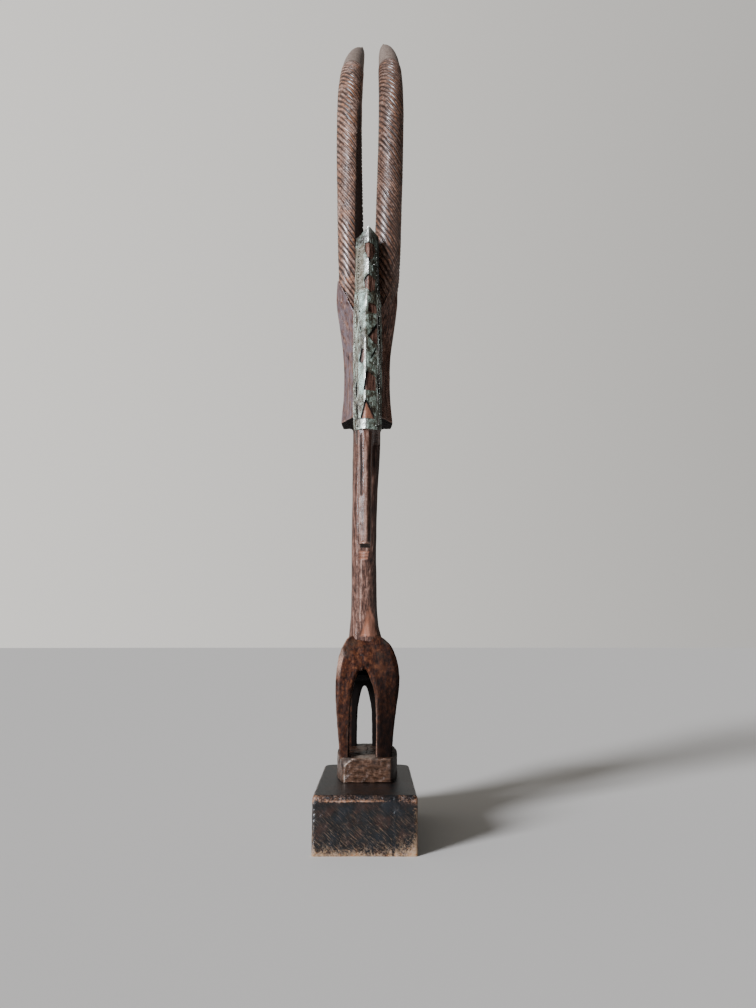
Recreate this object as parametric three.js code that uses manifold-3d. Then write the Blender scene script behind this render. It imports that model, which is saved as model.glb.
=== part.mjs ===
// Carved antelope standing on a block plinth, with a pierced metal plate on its face.
// Millimetres, +Z up, the antelope faces -Y. The origin is the middle of the plinth's underside.
import * as THREE from 'three';
import { mergeVertices } from 'three/addons/utils/BufferGeometryUtils.js';
import Module from 'manifold-3d';

const wasm = await Module();
wasm.setup();

// Driving dimensions. A height is above the plinth's underside, and a setback is measured rearwards
// from the plinth's front face.
const plinth = {
  width: 103, depth: 205, height: 56, frontCorner: 3, rearCorner: 11, topWear: 4.5, footWear: 1.5,
};
const seatGap = 0.3; // clearance between separate pieces
const beyond = 60; // how far a cutter reaches past what it cuts
const baseBlock = {
  top: 81, front: 71, rear: 202, noseHalf: 25, widestHalf: 34, roundness: 0.55, bevel: 2,
};
const legRoot = baseBlock.top - 2; // the feet run 2 mm into the base block

// Front view of chest and forelegs: x and height, left side up and over to the right foot.
const foreOutline = [
  [-28.5, legRoot], [-31, 110], [-33.6, 145], [-32.6, 172], [-28.6, 193], [-19, 209], [-4, 214],
  [12, 211], [25, 202], [33.5, 186], [36.6, 166], [35.8, 148], [31.5, 118], [27.6, legRoot],
];
const foreArch = [
  [10.7, legRoot], [10.7, 125], [8.6, 148], [3, 166], [-4, 176], [-10.5, 164], [-14.5, 150],
  [-18, 122], [-18.5, legRoot],
];
const foreDepth = { front: 76, rear: 130, bevel: 3.5 };

// Rear view of rump and hind legs.
const hindOutline = [
  [-30, legRoot], [-31, 130], [-30, 175], [-20, 203], [-3, 208], [15, 203], [26, 175], [27, 130],
  [26, legRoot],
];
const hindArch = [[6.4, legRoot], [5, 125], [-3, 152], [-11, 125], [-12.4, legRoot]];
const hindDepth = { front: 116, rear: 262, bevel: 4 };

// Side view of the body: setback and height.
const backLine = [[76, 188], [88, 215], [112, 222], [150, 207], [195, 203], [228, 206]];
const rumpLine = [[228, 206], [245, 196], [249, 178], [240, 158], [226, 140], [213, 112], [205, legRoot]];
const bellyLine = [[174, legRoot], [174, 100], [186, 124], [184, 142], [170, 156], [146, 161], [120, 171]];
const foreLegRear = [[120, 171], [109, 150], [106, 118], [109, legRoot]];
const foreLegFront = [[79, legRoot], [79, 118], [76, 150], [76, 188]];

// The tail stands up behind: setback and height along its middle, then its half width and thickness.
const tail = {
  path: [[212, 186], [236, 222], [251, 260], [266, 302]], root: [9, 8], tip: [2.6, 2.4],
  middle: -2.5, sides: 8, steps: 6,
};

// Neck stations: height, setback of its middle, half depth, middle x, half width.
const neckStations = [
  [196, 106, 24, -2, 19], [222, 100, 21, -2.5, 16.2], [250, 91, 18.5, -2.5, 14.8],
  [300, 80, 17.5, -2.8, 14.3], [360, 74, 18, -2, 14.6], [410, 74, 20, -0.5, 15.8],
  [450, 78, 22, 0.3, 16.5],
];

// Head and ears: height, half width, setback of the ears' outer edge, front and rear reach.
const headStations = [
  [442, 29.4, 48, 42, 40], [460, 27.2, 48, 44, 46], [486, 25.5, 46, 46, 52],
  [518, 26.4, 44, 46, 56], [552, 31, 43, 45, 58], [580, 34.5, 44, 42, 54], [604, 33, 46, 30, 44],
  [622, 24, 46, 16, 30],
];
const headMiddle = 1;

// Face wedge: height, x of its ridge, setback of its ridge, middle x, half width, rear setback.
const faceStations = [
  [419, -0.3, -21, 1.6, 13.4, 52], [440, -0.3, -24, 1.8, 13.8, 56], [480, -0.3, -27, 1.9, 14, 60],
  [520, -0.3, -26.5, 1.9, 14, 60], [552, 0.6, -25, 1.6, 13.4, 60], [572, 1.8, -23.5, 1.2, 12.2, 58],
  [600, 2.5, -21, 1, 11.6, 50], [626, 2.6, -17.5, 1, 11.4, 34], [644, 2.8, -14.5, 1.2, 11, 16],
];
const faceFlat = 8.5; // how far the face's side edges stand back from its ridge
const faceGable = { fall: 8, sharpness: 7, widest: 1.1 }; // fall of its top from ridge to side edges
const faceRun = 30; // how far its shape is carried on below the lowest station, before it is trimmed
const faceSteps = 16;

// Muzzle below the face plate: height, ridge setback, rear setback, middle x, half width.
const muzzleStations = [
  [300, -14, 24, -0.6, 5.6], [318, -15.5, 26, -0.6, 6.3], [360, -18, 32, -0.8, 6.7],
  [400, -20, 44, -0.9, 7.2], [440, -16, 60, -0.6, 8],
];
const muzzleFlat = 4.5;

// Horns: setback and height of the middle line, its distance from the head's middle, and its radius.
const hornStations = [
  [32, 540, 11, 6], [23, 582, 18, 13.4], [17, 620, 20, 14.6], [12, 690, 22, 14.6], [11, 760, 23.6, 14.5],
  [17, 816, 24, 14.5], [36, 864, 23.2, 14.2], [66, 908, 21.8, 13.2], [102, 950, 19.8, 11],
  [140, 988, 18, 8.1], [175, 1021, 16.6, 5.2], [203, 1050, 15.4, 1.8],
];
const hornMiddle = [2.4, 6]; // x of the middle between the horns, at their root and at their tips
const hornLead = 5; // how much higher the right horn's tip stands
const hornGroove = {
  pitch: 8, depth: 1.5, sides: 12, bareTip: 190, tipSteps: 10, slant: 1.15, levelRoot: 40,
};

// Mane: setback and height of its neck edge and of its outer edge, from below to the top.
const maneNeck = [[116, 204], [99, 260], [90, 300], [84, 350], [84, 400], [90, 450], [98, 510], [100, 566]];
const maneOuter = [
  [186, 202], [209, 250], [230, 295], [246, 350], [254, 405], [252, 452], [228, 496], [178, 532], [120, 568],
];
const maneShape = { halfThickness: 6.5, middle: -1.5, strut: 3.4, smallest: 2.2 };
const maneRows = [{ from: 0.17, to: 0.45, cells: 7 }, { from: 0.55, to: 0.87, cells: 9 }];
const maneSpan = [0.08, 0.93]; // the pierced stretch of its length

// Plate on the face: its thickness, its lower edge, how far it wraps round the sides.
const plate = { thickness: 1.1, foot: 418, wrap: 3.5 };
// Openings through the plate: middle x, middle height, half width, half height, and whether the
// lower or upper half is missing.
const plateOpenings = [
  { x: 2.8, height: 618, half: 4.2, tall: 9 },
  { x: 4.1, height: 577, half: 6.2, tall: 10 },
  { x: 6.6, height: 542, half: 4.6, tall: 9, halfOnly: true },
  { x: 7.6, height: 511, half: 5.6, tall: 19 },
  { x: -4.2, height: 495, half: 3, tall: 9.5 },
  { x: 4, height: 459, half: 5.6, tall: 18, halfOnly: true },
  { x: 1.7, height: 429, half: 6.5, tall: 19, halfOnly: true },
];

// Finishes.
const finish = {
  paintedWood: { color: 0x26231f, roughness: 0.55, metalness: 0 },
  carvedWood: { color: 0x5a3826, roughness: 0.5, metalness: 0 },
  patinatedMetal: { color: 0x8b998a, roughness: 0.45, metalness: 0.6 },
};

const fullTurn = 2 * Math.PI;
const rearOf = (setback) => setback - plinth.depth / 2; // setback to y

// Smooth value between stations: a cubic through their values, with slopes from their neighbours.
function valueAt(stations, at, column, key = 0) {
  const last = stations.length - 1;
  let i = 0;
  while (i < last - 1 && stations[i + 1][key] < at) {
    i += 1;
  }
  const value = (k) => stations[THREE.MathUtils.clamp(k, 0, last)][column];
  const place = (k) => stations[THREE.MathUtils.clamp(k, 0, last)][key];
  const span = place(i + 1) - place(i);
  const t = THREE.MathUtils.clamp((at - place(i)) / span, 0, 1);
  const slope = (k) => ((value(k + 1) - value(k - 1)) / (place(k + 1) - place(k - 1))) * span;
  const t2 = t * t;
  const t3 = t2 * t;
  return (2 * t3 - 3 * t2 + 1) * value(i) + (t3 - 2 * t2 + t) * slope(i)
    + (3 * t2 - 2 * t3) * value(i + 1) + (t3 - t2) * slope(i + 1);
}

// Closed tube: a cylinder whose every point is moved by place(corner, along, reach). The corners are
// counted anticlockwise from +X, along runs from 0 to 1, and reach is 0 at an end's centre, else 1.
function tube(sides, steps, place) {
  const geometry = new THREE.CylinderGeometry(1, 1, 1, sides, steps);
  const position = geometry.attributes.position;
  for (let i = 0; i < position.count; i += 1) {
    const across = position.getZ(i);
    const over = position.getX(i);
    const corner = Math.round((Math.atan2(over, across) / fullTurn + 1) * sides) % sides;
    const point = place(corner, position.getY(i) + 0.5, Math.round(Math.hypot(across, over)));
    position.setXYZ(i, point.x, point.y, point.z);
  }
  return geometry;
}

// Upright tube through level sections: cornersAt(height) lists its corners as x and y.
function standing(bottom, top, steps, cornersAt, rise = () => 0) {
  const sides = cornersAt(bottom).length;
  return tube(sides, steps, (corner, along, reach) => {
    const height = THREE.MathUtils.lerp(bottom, top, along);
    const corners = cornersAt(height);
    const middle = corners.reduce((sum, [x, y]) => [sum[0] + x / sides, sum[1] + y / sides], [0, 0]);
    const [x, y] = reach ? corners[corner] : middle;
    return new THREE.Vector3(x, y, height + rise(x, along));
  });
}

// Rounded section: half width and half depth, more square as the power falls below 1, more like a
// rhombus as it rises above 1.
function roundSection(sides, halfWidth, frontReach, rearReach, power, middleX, middleY) {
  return Array.from({ length: sides }, (_, k) => {
    const angle = (k / sides) * fullTurn;
    const bend = (value) => Math.sign(value) * Math.abs(value) ** power;
    const across = bend(Math.cos(angle));
    const over = bend(Math.sin(angle));
    return [middleX + halfWidth * across, middleY + (over > 0 ? rearReach : frontReach) * over];
  });
}

// Outline through smooth stretches of points, each stretch a curve of its own.
function outline(stretches, density) {
  const shape = new THREE.Shape();
  stretches.forEach((points, index) => {
    const curve = new THREE.SplineCurve(points.map(([x, y]) => new THREE.Vector2(x, y)));
    const samples = curve.getPoints(points.length * density);
    samples.forEach((point, k) => {
      if (index === 0 && k === 0) {
        shape.moveTo(point.x, point.y);
      } else if (k > 0 || shape.currentPoint.distanceTo(point) > 0.01) {
        shape.lineTo(point.x, point.y);
      }
    });
  });
  shape.closePath();
  return shape;
}

// Slab with its outline in side view (y and height), centred on x.
function sideSlab(shape, halfThickness, bevel, middleX = 0) {
  const geometry = new THREE.ExtrudeGeometry(shape, {
    depth: 2 * (halfThickness - bevel), bevelEnabled: bevel > 0, bevelSegments: 1,
    bevelSize: bevel, bevelThickness: bevel, bevelOffset: -bevel,
  });
  geometry.translate(0, 0, bevel - halfThickness);
  const turn = new THREE.Matrix4().makeBasis(
    new THREE.Vector3(0, 1, 0), new THREE.Vector3(0, 0, 1), new THREE.Vector3(1, 0, 0),
  );
  geometry.applyMatrix4(turn);
  return geometry.translate(middleX, 0, 0);
}

// Slab with its outline in front view (x and height), from a front to a rear setback.
function frontSlab(shape, front, rear, bevel) {
  const geometry = new THREE.ExtrudeGeometry(shape, {
    depth: rear - front - 2 * bevel, bevelEnabled: bevel > 0, bevelSegments: 1,
    bevelSize: bevel, bevelThickness: bevel, bevelOffset: -bevel,
  });
  geometry.translate(0, 0, bevel);
  const turn = new THREE.Matrix4().makeBasis(
    new THREE.Vector3(1, 0, 0), new THREE.Vector3(0, 0, 1), new THREE.Vector3(0, -1, 0),
  );
  geometry.applyMatrix4(turn);
  return geometry.translate(0, rearOf(rear), 0);
}

// Geometry to solid and back, for joining and cutting.
function toSolid(geometry) {
  const bare = geometry.clone();
  bare.deleteAttribute('normal');
  bare.deleteAttribute('uv');
  const merged = mergeVertices(bare, 1e-3);
  return new wasm.Manifold(new wasm.Mesh({
    numProp: 3,
    vertProperties: new Float32Array(merged.attributes.position.array),
    triVerts: new Uint32Array(merged.index.array),
  }));
}

function toGeometry(solid) {
  const mesh = solid.getMesh();
  const geometry = new THREE.BufferGeometry();
  geometry.setAttribute('position', new THREE.BufferAttribute(mesh.vertProperties, mesh.numProp));
  geometry.setIndex(new THREE.BufferAttribute(mesh.triVerts, 1));
  geometry.computeVertexNormals();
  return geometry;
}

// Plinth: a rounded rectangle, worn back along its top and bottom edges.
function makePlinth() {
  const cornerSteps = 3;
  const quarter = fullTurn / 4;
  const corners = [
    [1, 1, plinth.rearCorner], [-1, 1, plinth.rearCorner],
    [-1, -1, plinth.frontCorner], [1, -1, plinth.frontCorner],
  ];
  const sectionAt = (inset) => corners.flatMap(([sideX, sideY, radius], quarterIndex) => (
    Array.from({ length: cornerSteps + 1 }, (_, k) => {
      const angle = quarterIndex * quarter + (k / cornerSteps) * quarter;
      const centreX = sideX * (plinth.width / 2 - radius);
      const centreY = sideY * (plinth.depth / 2 - radius);
      const reach = Math.max(radius - inset, 0.5);
      const slip = Math.max(inset - radius + 0.5, 0);
      return [
        centreX - sideX * slip + reach * Math.cos(angle),
        centreY - sideY * slip + reach * Math.sin(angle),
      ];
    })
  ));
  const levels = [
    [0, plinth.footWear], [plinth.footWear, 0], [plinth.height - plinth.topWear, 0],
    [plinth.height, plinth.topWear],
  ];
  return tube(sectionAt(0).length, levels.length - 1, (corner, along, reach) => {
    const [height, inset] = levels[Math.round(along * (levels.length - 1))];
    const [x, y] = reach ? sectionAt(inset)[corner] : [0, 0];
    return new THREE.Vector3(x, y, height);
  });
}

// Base block under the feet: barrel shaped in plan, with a bevelled top edge.
function makeBaseBlock() {
  const length = baseBlock.rear - baseBlock.front;
  const bulge = (share) => THREE.MathUtils.lerp(
    baseBlock.noseHalf, baseBlock.widestHalf, Math.sin(Math.PI * share) ** baseBlock.roundness,
  );
  const shares = [0, 0.08, 0.25, 0.5, 0.75, 0.92, 1];
  const right = shares.map((share) => [bulge(share), rearOf(baseBlock.front + share * length)]);
  const left = [...right].reverse().map(([x, y]) => [-x, y]);
  const shape = new THREE.Shape([...right, ...left].map(([x, y]) => new THREE.Vector2(x, y)));
  const thickness = baseBlock.top - plinth.height - seatGap;
  const geometry = new THREE.ExtrudeGeometry(shape, {
    depth: thickness - 2 * baseBlock.bevel, bevelEnabled: true, bevelSegments: 1,
    bevelSize: baseBlock.bevel, bevelThickness: baseBlock.bevel, bevelOffset: -baseBlock.bevel,
  });
  return geometry.translate(0, 0, plinth.height + seatGap + baseBlock.bevel);
}

// Body: the side outline of trunk and legs, met by a front outline for the forelegs and another
// for the hind legs.
function makeBody() {
  const side = outline([
    foreLegFront, backLine, rumpLine, bellyLine, foreLegRear,
  ].map((stretch) => stretch.map(([setback, height]) => [rearOf(setback), height])), 3);
  const flanks = toSolid(sideSlab(side, beyond, 0));
  const archway = (outer, arch, depth) => toSolid(frontSlab(
    outline([outer, arch], 2), depth.front, depth.rear, depth.bevel,
  ));
  const fore = flanks.intersect(archway(foreOutline, foreArch, foreDepth));
  const hind = flanks.intersect(archway(hindOutline, hindArch, hindDepth));
  return fore.add(hind);
}

// Tail: a tapering strip that rises behind the rump.
function makeTail() {
  const path = new THREE.CatmullRomCurve3(
    tail.path.map(([setback, height]) => new THREE.Vector3(tail.middle, rearOf(setback), height)),
  );
  const side = new THREE.Vector3(1, 0, 0);
  return tube(tail.sides, tail.steps, (corner, along, reach) => {
    const angle = (corner / tail.sides) * fullTurn;
    const halfWidth = THREE.MathUtils.lerp(tail.root[0], tail.tip[0], along);
    const halfDepth = THREE.MathUtils.lerp(tail.root[1], tail.tip[1], along);
    const behind = new THREE.Vector3().crossVectors(path.getTangentAt(along), side);
    return path.getPointAt(along)
      .addScaledVector(side, reach * halfWidth * Math.cos(angle))
      .addScaledVector(behind, reach * halfDepth * Math.sin(angle));
  });
}

function makeNeck() {
  const sides = 12;
  const squareness = 0.75;
  const bottom = neckStations[0][0];
  const top = neckStations[neckStations.length - 1][0];
  return standing(bottom, top, 12, (height) => {
    const depth = valueAt(neckStations, height, 2);
    return roundSection(
      sides, valueAt(neckStations, height, 4), depth, depth, squareness,
      valueAt(neckStations, height, 3), rearOf(valueAt(neckStations, height, 1)),
    );
  });
}

// Head with the ears as its outer edges: a rhombus in plan.
function makeHead() {
  const sides = 12;
  const squareness = 1.35;
  const bottom = headStations[0][0];
  const top = headStations[headStations.length - 1][0];
  return standing(bottom, top, 14, (height) => roundSection(
    sides, valueAt(headStations, height, 1), valueAt(headStations, height, 3),
    valueAt(headStations, height, 4), squareness, headMiddle, rearOf(valueAt(headStations, height, 2)),
  ));
}

// Face wedge down to its foot, grown outwards: a ridge in front, flat side edges, a gabled top.
function faceWedge(foot, grow) {
  const bottom = faceStations[0][0] - faceRun;
  const top = faceStations[faceStations.length - 1][0];
  const at = (height, column) => valueAt(faceStations, height, column);
  const cornersAt = (height) => {
    const half = at(height, 4) + grow;
    const middle = at(height, 3);
    const ridge = rearOf(at(height, 2)) - grow;
    const edge = ridge + faceFlat;
    const rear = rearOf(at(height, 5));
    return [
      [middle + half, edge], [middle + half, rear], [middle - half, rear], [middle - half, edge],
      [at(height, 1), ridge],
    ];
  };
  const gable = (x, along) => {
    const share = Math.min(Math.abs(x - at(top, 1)) / at(top, 4), faceGable.widest);
    return (along === 1 ? grow : 0) - faceGable.fall * share * along ** faceGable.sharpness;
  };
  return toSolid(standing(bottom, top, faceSteps, cornersAt, gable)).trimByPlane([0, 0, 1], foot);
}

// Muzzle: a narrow blade that hangs in front of the neck.
function makeMuzzle() {
  const at = (height, column) => valueAt(muzzleStations, height, column);
  const bottom = muzzleStations[0][0];
  const top = muzzleStations[muzzleStations.length - 1][0];
  return standing(bottom, top, 8, (height) => {
    const half = at(height, 4);
    const middle = at(height, 3);
    const edge = rearOf(at(height, 1)) + muzzleFlat;
    const rear = rearOf(at(height, 2));
    return [
      [middle + half, edge], [middle + half, rear], [middle - half, rear], [middle - half, edge],
      [middle, rearOf(at(height, 1))],
    ];
  });
}

// Horn: a round bar along a swept-back curve, ringed by slanting grooves up to its bare tip.
function makeHorn(sideSign) {
  const count = hornStations.length - 1;
  const stations = hornStations.map((station, k) => [...station, k]); // column 4 counts the stations
  const path = new THREE.CatmullRomCurve3(hornStations.map(([setback, height, spread], k) => (
    new THREE.Vector3(
      THREE.MathUtils.lerp(hornMiddle[0], hornMiddle[1], k / count) + sideSign * spread,
      rearOf(setback), height + (sideSign > 0 ? (hornLead * k) / count : 0),
    )
  )));
  const length = path.getLength();
  const grooves = Math.round((length - hornGroove.bareTip) / hornGroove.pitch);
  const grooveEnd = (grooves * hornGroove.pitch) / length;
  const steps = 2 * grooves + hornGroove.tipSteps;
  const across = new THREE.Vector3(1, 0, 0);
  return tube(hornGroove.sides, steps, (corner, along, reach) => {
    const ring = Math.round(along * steps);
    const share = ring <= 2 * grooves
      ? (ring / (2 * grooves)) * grooveEnd
      : THREE.MathUtils.lerp(grooveEnd, 1, (ring - 2 * grooves) / hornGroove.tipSteps);
    const angle = (corner / hornGroove.sides) * fullTurn;
    const radius = valueAt(stations, path.getUtoTmapping(share) * count, 3, 4);
    const valley = ring % 2 === 1 && ring < 2 * grooves ? hornGroove.depth : 0;
    const slant = hornGroove.slant * Math.max(0, 1 - share / grooveEnd)
      * Math.min(1, (share * length) / hornGroove.levelRoot);
    const shift = (-slant * radius * Math.cos(angle) * reach) / length;
    const at = THREE.MathUtils.clamp(share + shift, 0, 1);
    const behind = new THREE.Vector3().crossVectors(path.getTangentAt(at), across).normalize();
    return path.getPointAt(at)
      .addScaledVector(across, reach * (radius - valley) * Math.cos(angle))
      .addScaledVector(behind, reach * (radius - valley) * Math.sin(angle));
  });
}

// Mane: a thin crescent, pierced by two rows of triangles that leave a zigzag of struts.
function makeMane() {
  const curve = (points) => new THREE.SplineCurve(
    points.map(([setback, height]) => new THREE.Vector2(rearOf(setback), height)),
  );
  const neckEdge = curve(maneNeck);
  const outerEdge = curve(maneOuter);
  const steps = 28;
  const border = [...outerEdge.getSpacedPoints(steps), ...neckEdge.getSpacedPoints(steps).reverse()];
  const shape = new THREE.Shape(border);
  const between = (share, along) => neckEdge.getPointAt(along).lerp(outerEdge.getPointAt(along), share);
  maneRows.forEach(({ from, to, cells }) => {
    const at = (half) => THREE.MathUtils.lerp(maneSpan[0], maneSpan[1], half / (2 * cells));
    for (let half = 0; half < 2 * cells - 1; half += 1) {
      const [foot, peak] = half % 2 === 0 ? [from, to] : [to, from];
      const hole = insetTriangle([
        between(foot, at(half)), between(peak, at(half + 1)), between(foot, at(half + 2)),
      ], maneShape.strut);
      if (hole) {
        shape.holes.push(new THREE.Path(hole));
      }
    }
  });
  return sideSlab(shape, maneShape.halfThickness, 0, maneShape.middle);
}

// Triangle moved inwards by a margin on every side, or nothing where too little would be left.
function insetTriangle(corners, margin) {
  const [a, b, c] = corners;
  const sides = [b.distanceTo(c), c.distanceTo(a), a.distanceTo(b)];
  const around = sides[0] + sides[1] + sides[2];
  const centre = new THREE.Vector2();
  corners.forEach((corner, k) => centre.addScaledVector(corner, sides[k] / around));
  const area = Math.abs(b.clone().sub(a).cross(c.clone().sub(a))) / 2;
  const inner = (2 * area) / around;
  if (inner < margin + maneShape.smallest) {
    return null;
  }
  return corners.map((corner) => centre.clone().lerp(corner, 1 - margin / inner));
}

function makeCarving() {
  const pieces = [
    toSolid(makeBaseBlock()), makeBody(), toSolid(makeTail()), toSolid(makeNeck()),
    toSolid(makeMane()), toSolid(makeHead()), faceWedge(faceStations[0][0], 0),
    toSolid(makeMuzzle()), toSolid(makeHorn(-1)), toSolid(makeHorn(1)),
  ];
  return toGeometry(pieces.reduce((whole, piece) => whole.add(piece)));
}

// Opening in the plate: a diamond, or its upper half alone.
function openingCut({ x, height, half, tall, halfOnly }) {
  const foot = halfOnly ? [] : [[x, height - tall]];
  const corners = [[x - half, height], ...foot, [x + half, height], [x, height + tall]];
  const shape = new THREE.Shape(corners.map(([px, pz]) => new THREE.Vector2(px, pz)));
  return toSolid(frontSlab(shape, -beyond, 0, 0));
}

// Everything behind the plate's rear edges.
function behindPlate() {
  const bottom = faceStations[0][0] - faceRun;
  const top = faceStations[faceStations.length - 1][0];
  const cornersAt = (height) => {
    const edge = rearOf(valueAt(faceStations, height, 2)) + faceFlat + plate.wrap;
    return [
      [beyond, edge], [beyond, edge + 2 * beyond], [-beyond, edge + 2 * beyond], [-beyond, edge],
    ];
  };
  return toSolid(standing(bottom, top, faceSteps, cornersAt, (x, along) => (along === 1 ? beyond : 0)));
}

function makePlate() {
  const sheet = faceWedge(plate.foot, seatGap + plate.thickness)
    .subtract(faceWedge(plate.foot - 1, seatGap))
    .subtract(behindPlate());
  return toGeometry(plateOpenings.reduce((whole, opening) => whole.subtract(openingCut(opening)), sheet));
}

function addPiece(name, geometry, look) {
  const mesh = new THREE.Mesh(geometry, new THREE.MeshStandardMaterial(look));
  mesh.name = name;
  sculpture.add(mesh);
}

const sculpture = new THREE.Group();
addPiece('plinth', makePlinth(), finish.paintedWood);
addPiece('antelope_carving', makeCarving(), finish.carvedWood);
addPiece('face_plate', makePlate(), finish.patinatedMetal);

export default sculpture;
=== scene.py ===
import math

import bpy
import bmesh
import numpy as np
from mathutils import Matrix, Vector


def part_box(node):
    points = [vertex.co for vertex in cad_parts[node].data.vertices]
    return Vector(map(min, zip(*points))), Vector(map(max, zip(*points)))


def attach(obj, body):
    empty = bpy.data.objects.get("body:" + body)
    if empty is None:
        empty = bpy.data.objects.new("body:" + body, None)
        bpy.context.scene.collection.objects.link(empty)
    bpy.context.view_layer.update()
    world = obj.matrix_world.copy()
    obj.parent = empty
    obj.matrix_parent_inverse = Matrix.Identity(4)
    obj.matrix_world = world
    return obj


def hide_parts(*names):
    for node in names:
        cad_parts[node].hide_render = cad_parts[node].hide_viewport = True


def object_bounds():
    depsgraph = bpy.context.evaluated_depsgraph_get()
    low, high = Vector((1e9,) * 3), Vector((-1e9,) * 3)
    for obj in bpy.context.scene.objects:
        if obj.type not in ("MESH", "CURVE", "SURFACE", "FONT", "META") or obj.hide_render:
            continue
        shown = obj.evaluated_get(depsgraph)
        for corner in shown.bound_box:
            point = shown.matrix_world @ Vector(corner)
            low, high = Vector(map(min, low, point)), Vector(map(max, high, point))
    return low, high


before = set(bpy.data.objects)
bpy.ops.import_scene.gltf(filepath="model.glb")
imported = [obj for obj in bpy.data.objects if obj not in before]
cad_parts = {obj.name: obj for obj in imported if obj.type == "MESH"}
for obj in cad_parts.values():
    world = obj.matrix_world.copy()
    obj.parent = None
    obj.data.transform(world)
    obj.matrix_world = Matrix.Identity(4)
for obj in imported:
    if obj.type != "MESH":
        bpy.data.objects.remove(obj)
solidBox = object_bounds()
print("frame loaded")

# Tables are in millimetres. A height is above the plinth's underside, and a setback is measured
# rearwards from the plinth's front face.
mm = 0.001
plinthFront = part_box("plinth")[0].y / mm


def backBy(setback):
    return np.asarray(setback, float) + plinthFront


# Shapes

def smooth(table, at, column, key=0):
    # value between a table's rows: a cubic through them, sloped as their neighbours are
    table = np.asarray(table, float)
    place, value = table[:, key], table[:, column]
    rows = np.arange(len(place))
    ahead, back = np.minimum(rows + 1, rows[-1]), np.maximum(rows - 1, 0)
    slope = (value[ahead] - value[back]) / (place[ahead] - place[back])
    at = np.clip(at, place[0], place[-1])
    i = np.clip(np.searchsorted(place, at) - 1, 0, rows[-1] - 1)
    span = place[i + 1] - place[i]
    t = (at - place[i]) / span
    return ((2 * t**3 - 3 * t**2 + 1) * value[i] + (t**3 - 2 * t**2 + t) * slope[i] * span
            + (3 * t**2 - 2 * t**3) * value[i + 1] + (t**3 - t**2) * slope[i + 1] * span)


def alongCurve(points, shares):
    # place and direction at shares of the length of a smooth curve through the points, and its
    # length; columns after the third are carried along
    points = np.asarray(points, float)
    last = len(points) - 1
    t = np.linspace(0, last, 80 * last)
    i = np.minimum(t.astype(int), last - 1)
    f = (t - i)[:, None]
    a, b, c, d = (points[np.clip(i + step, 0, last)] for step in (-1, 0, 1, 2))
    rise, fall = (c - a) / 2, (d - b) / 2
    curve = ((2 * b - 2 * c + rise + fall) * f**3 + (3 * c - 3 * b - 2 * rise - fall) * f**2
             + rise * f + b)
    steps = np.linalg.norm(np.diff(curve[:, :3], axis=0), axis=1)
    length = np.append(0, np.cumsum(steps))
    heading = np.gradient(curve[:, :3], axis=0)
    heading /= np.linalg.norm(heading, axis=1)[:, None]
    at = np.asarray(shares) * length[-1]

    def read(values):
        return np.stack([np.interp(at, length, values[:, k]) for k in range(values.shape[1])], -1)

    return read(curve), read(heading), length[-1]


def lumps(points, size, seed):
    # smooth random values from -1 to 1: random numbers on a lattice of that size, blended between
    lattice = np.random.default_rng(seed).uniform(-1, 1, (32, 32, 32))
    places = points / np.asarray(size, float) + 64
    cell = np.floor(places).astype(int)
    t = places - cell
    t = t * t * (3 - 2 * t)
    total = np.zeros(points.shape[:-1])
    for corner in np.ndindex(2, 2, 2):
        weight = np.where(corner, t, 1 - t).prod(axis=-1)
        spot = (cell + corner) % 32
        total += weight * lattice[spot[..., 0], spot[..., 1], spot[..., 2]]
    return total


def scoops(points, size, seed):
    # shallow hollows that meet in soft ridges, as a gouge leaves them: 0 in a hollow, 1 on a ridge
    return 1 - np.minimum(np.abs(lumps(points, size, seed)) * 2.2, 1)


def ramp(value, low, high):
    # 0 below low, 1 above high, and even between them
    return np.clip((value - low) / (high - low), 0, 1)


def tubeSkin(rings, flatEnds=False):
    # closed skin over rings of points: quads from ring to ring, and each end closed by a fan to its
    # middle, or by one flat face
    rows, corners = rings.shape[:2]
    here = np.arange(corners)
    after = (here + 1) % corners
    start = np.arange(rows - 1)[:, None] * corners
    sides = np.stack([start + here, start + after, start + after + corners,
                      start + here + corners], -1).reshape(-1, 4).tolist()
    top = (rows - 1) * corners
    if flatEnds:
        return rings.reshape(-1, 3), sides + [here[::-1].tolist(), (top + here).tolist()]
    middles = np.stack([rings[0].mean(0), rings[-1].mean(0)])
    foot = np.stack([np.full(corners, rows * corners), after, here], -1)
    peak = np.stack([np.full(corners, rows * corners + 1), top + here, top + after], -1)
    return (np.concatenate([rings.reshape(-1, 3), middles]), sides + foot.tolist() + peak.tolist())


def gathered(skins):
    # several skins as one list of points and faces
    vertices, faces, count = [], [], 0
    for points, polygons in skins:
        vertices.append(points)
        faces += [[corner + count for corner in polygon] for polygon in polygons]
        count += len(points)
    return np.concatenate(vertices), faces


def makePiece(name, skin):
    vertices, faces = skin
    mesh = bpy.data.meshes.new(name)
    mesh.from_pydata((vertices * mm).tolist(), [], faces)
    mesh.validate()
    shape = bmesh.new()
    shape.from_mesh(mesh)
    bmesh.ops.recalc_face_normals(shape, faces=shape.faces)
    shape.to_mesh(mesh)
    shape.free()
    piece = bpy.data.objects.new(name, mesh)
    bpy.context.scene.collection.objects.link(piece)
    return piece


def settle(piece):
    # works the piece's modifiers into its mesh
    graph = bpy.context.evaluated_depsgraph_get()
    shaped = bpy.data.meshes.new_from_object(piece.evaluated_get(graph))
    piece.modifiers.clear()
    piece.data = shaped
    return piece


def combine(piece, other, operation):
    # joins, cuts or intersects with the other piece, which is used up
    step = piece.modifiers.new(operation, "BOOLEAN")
    step.operation, step.solver, step.object = operation, "MANIFOLD", other
    settle(piece)
    bpy.data.objects.remove(other)
    return piece


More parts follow.
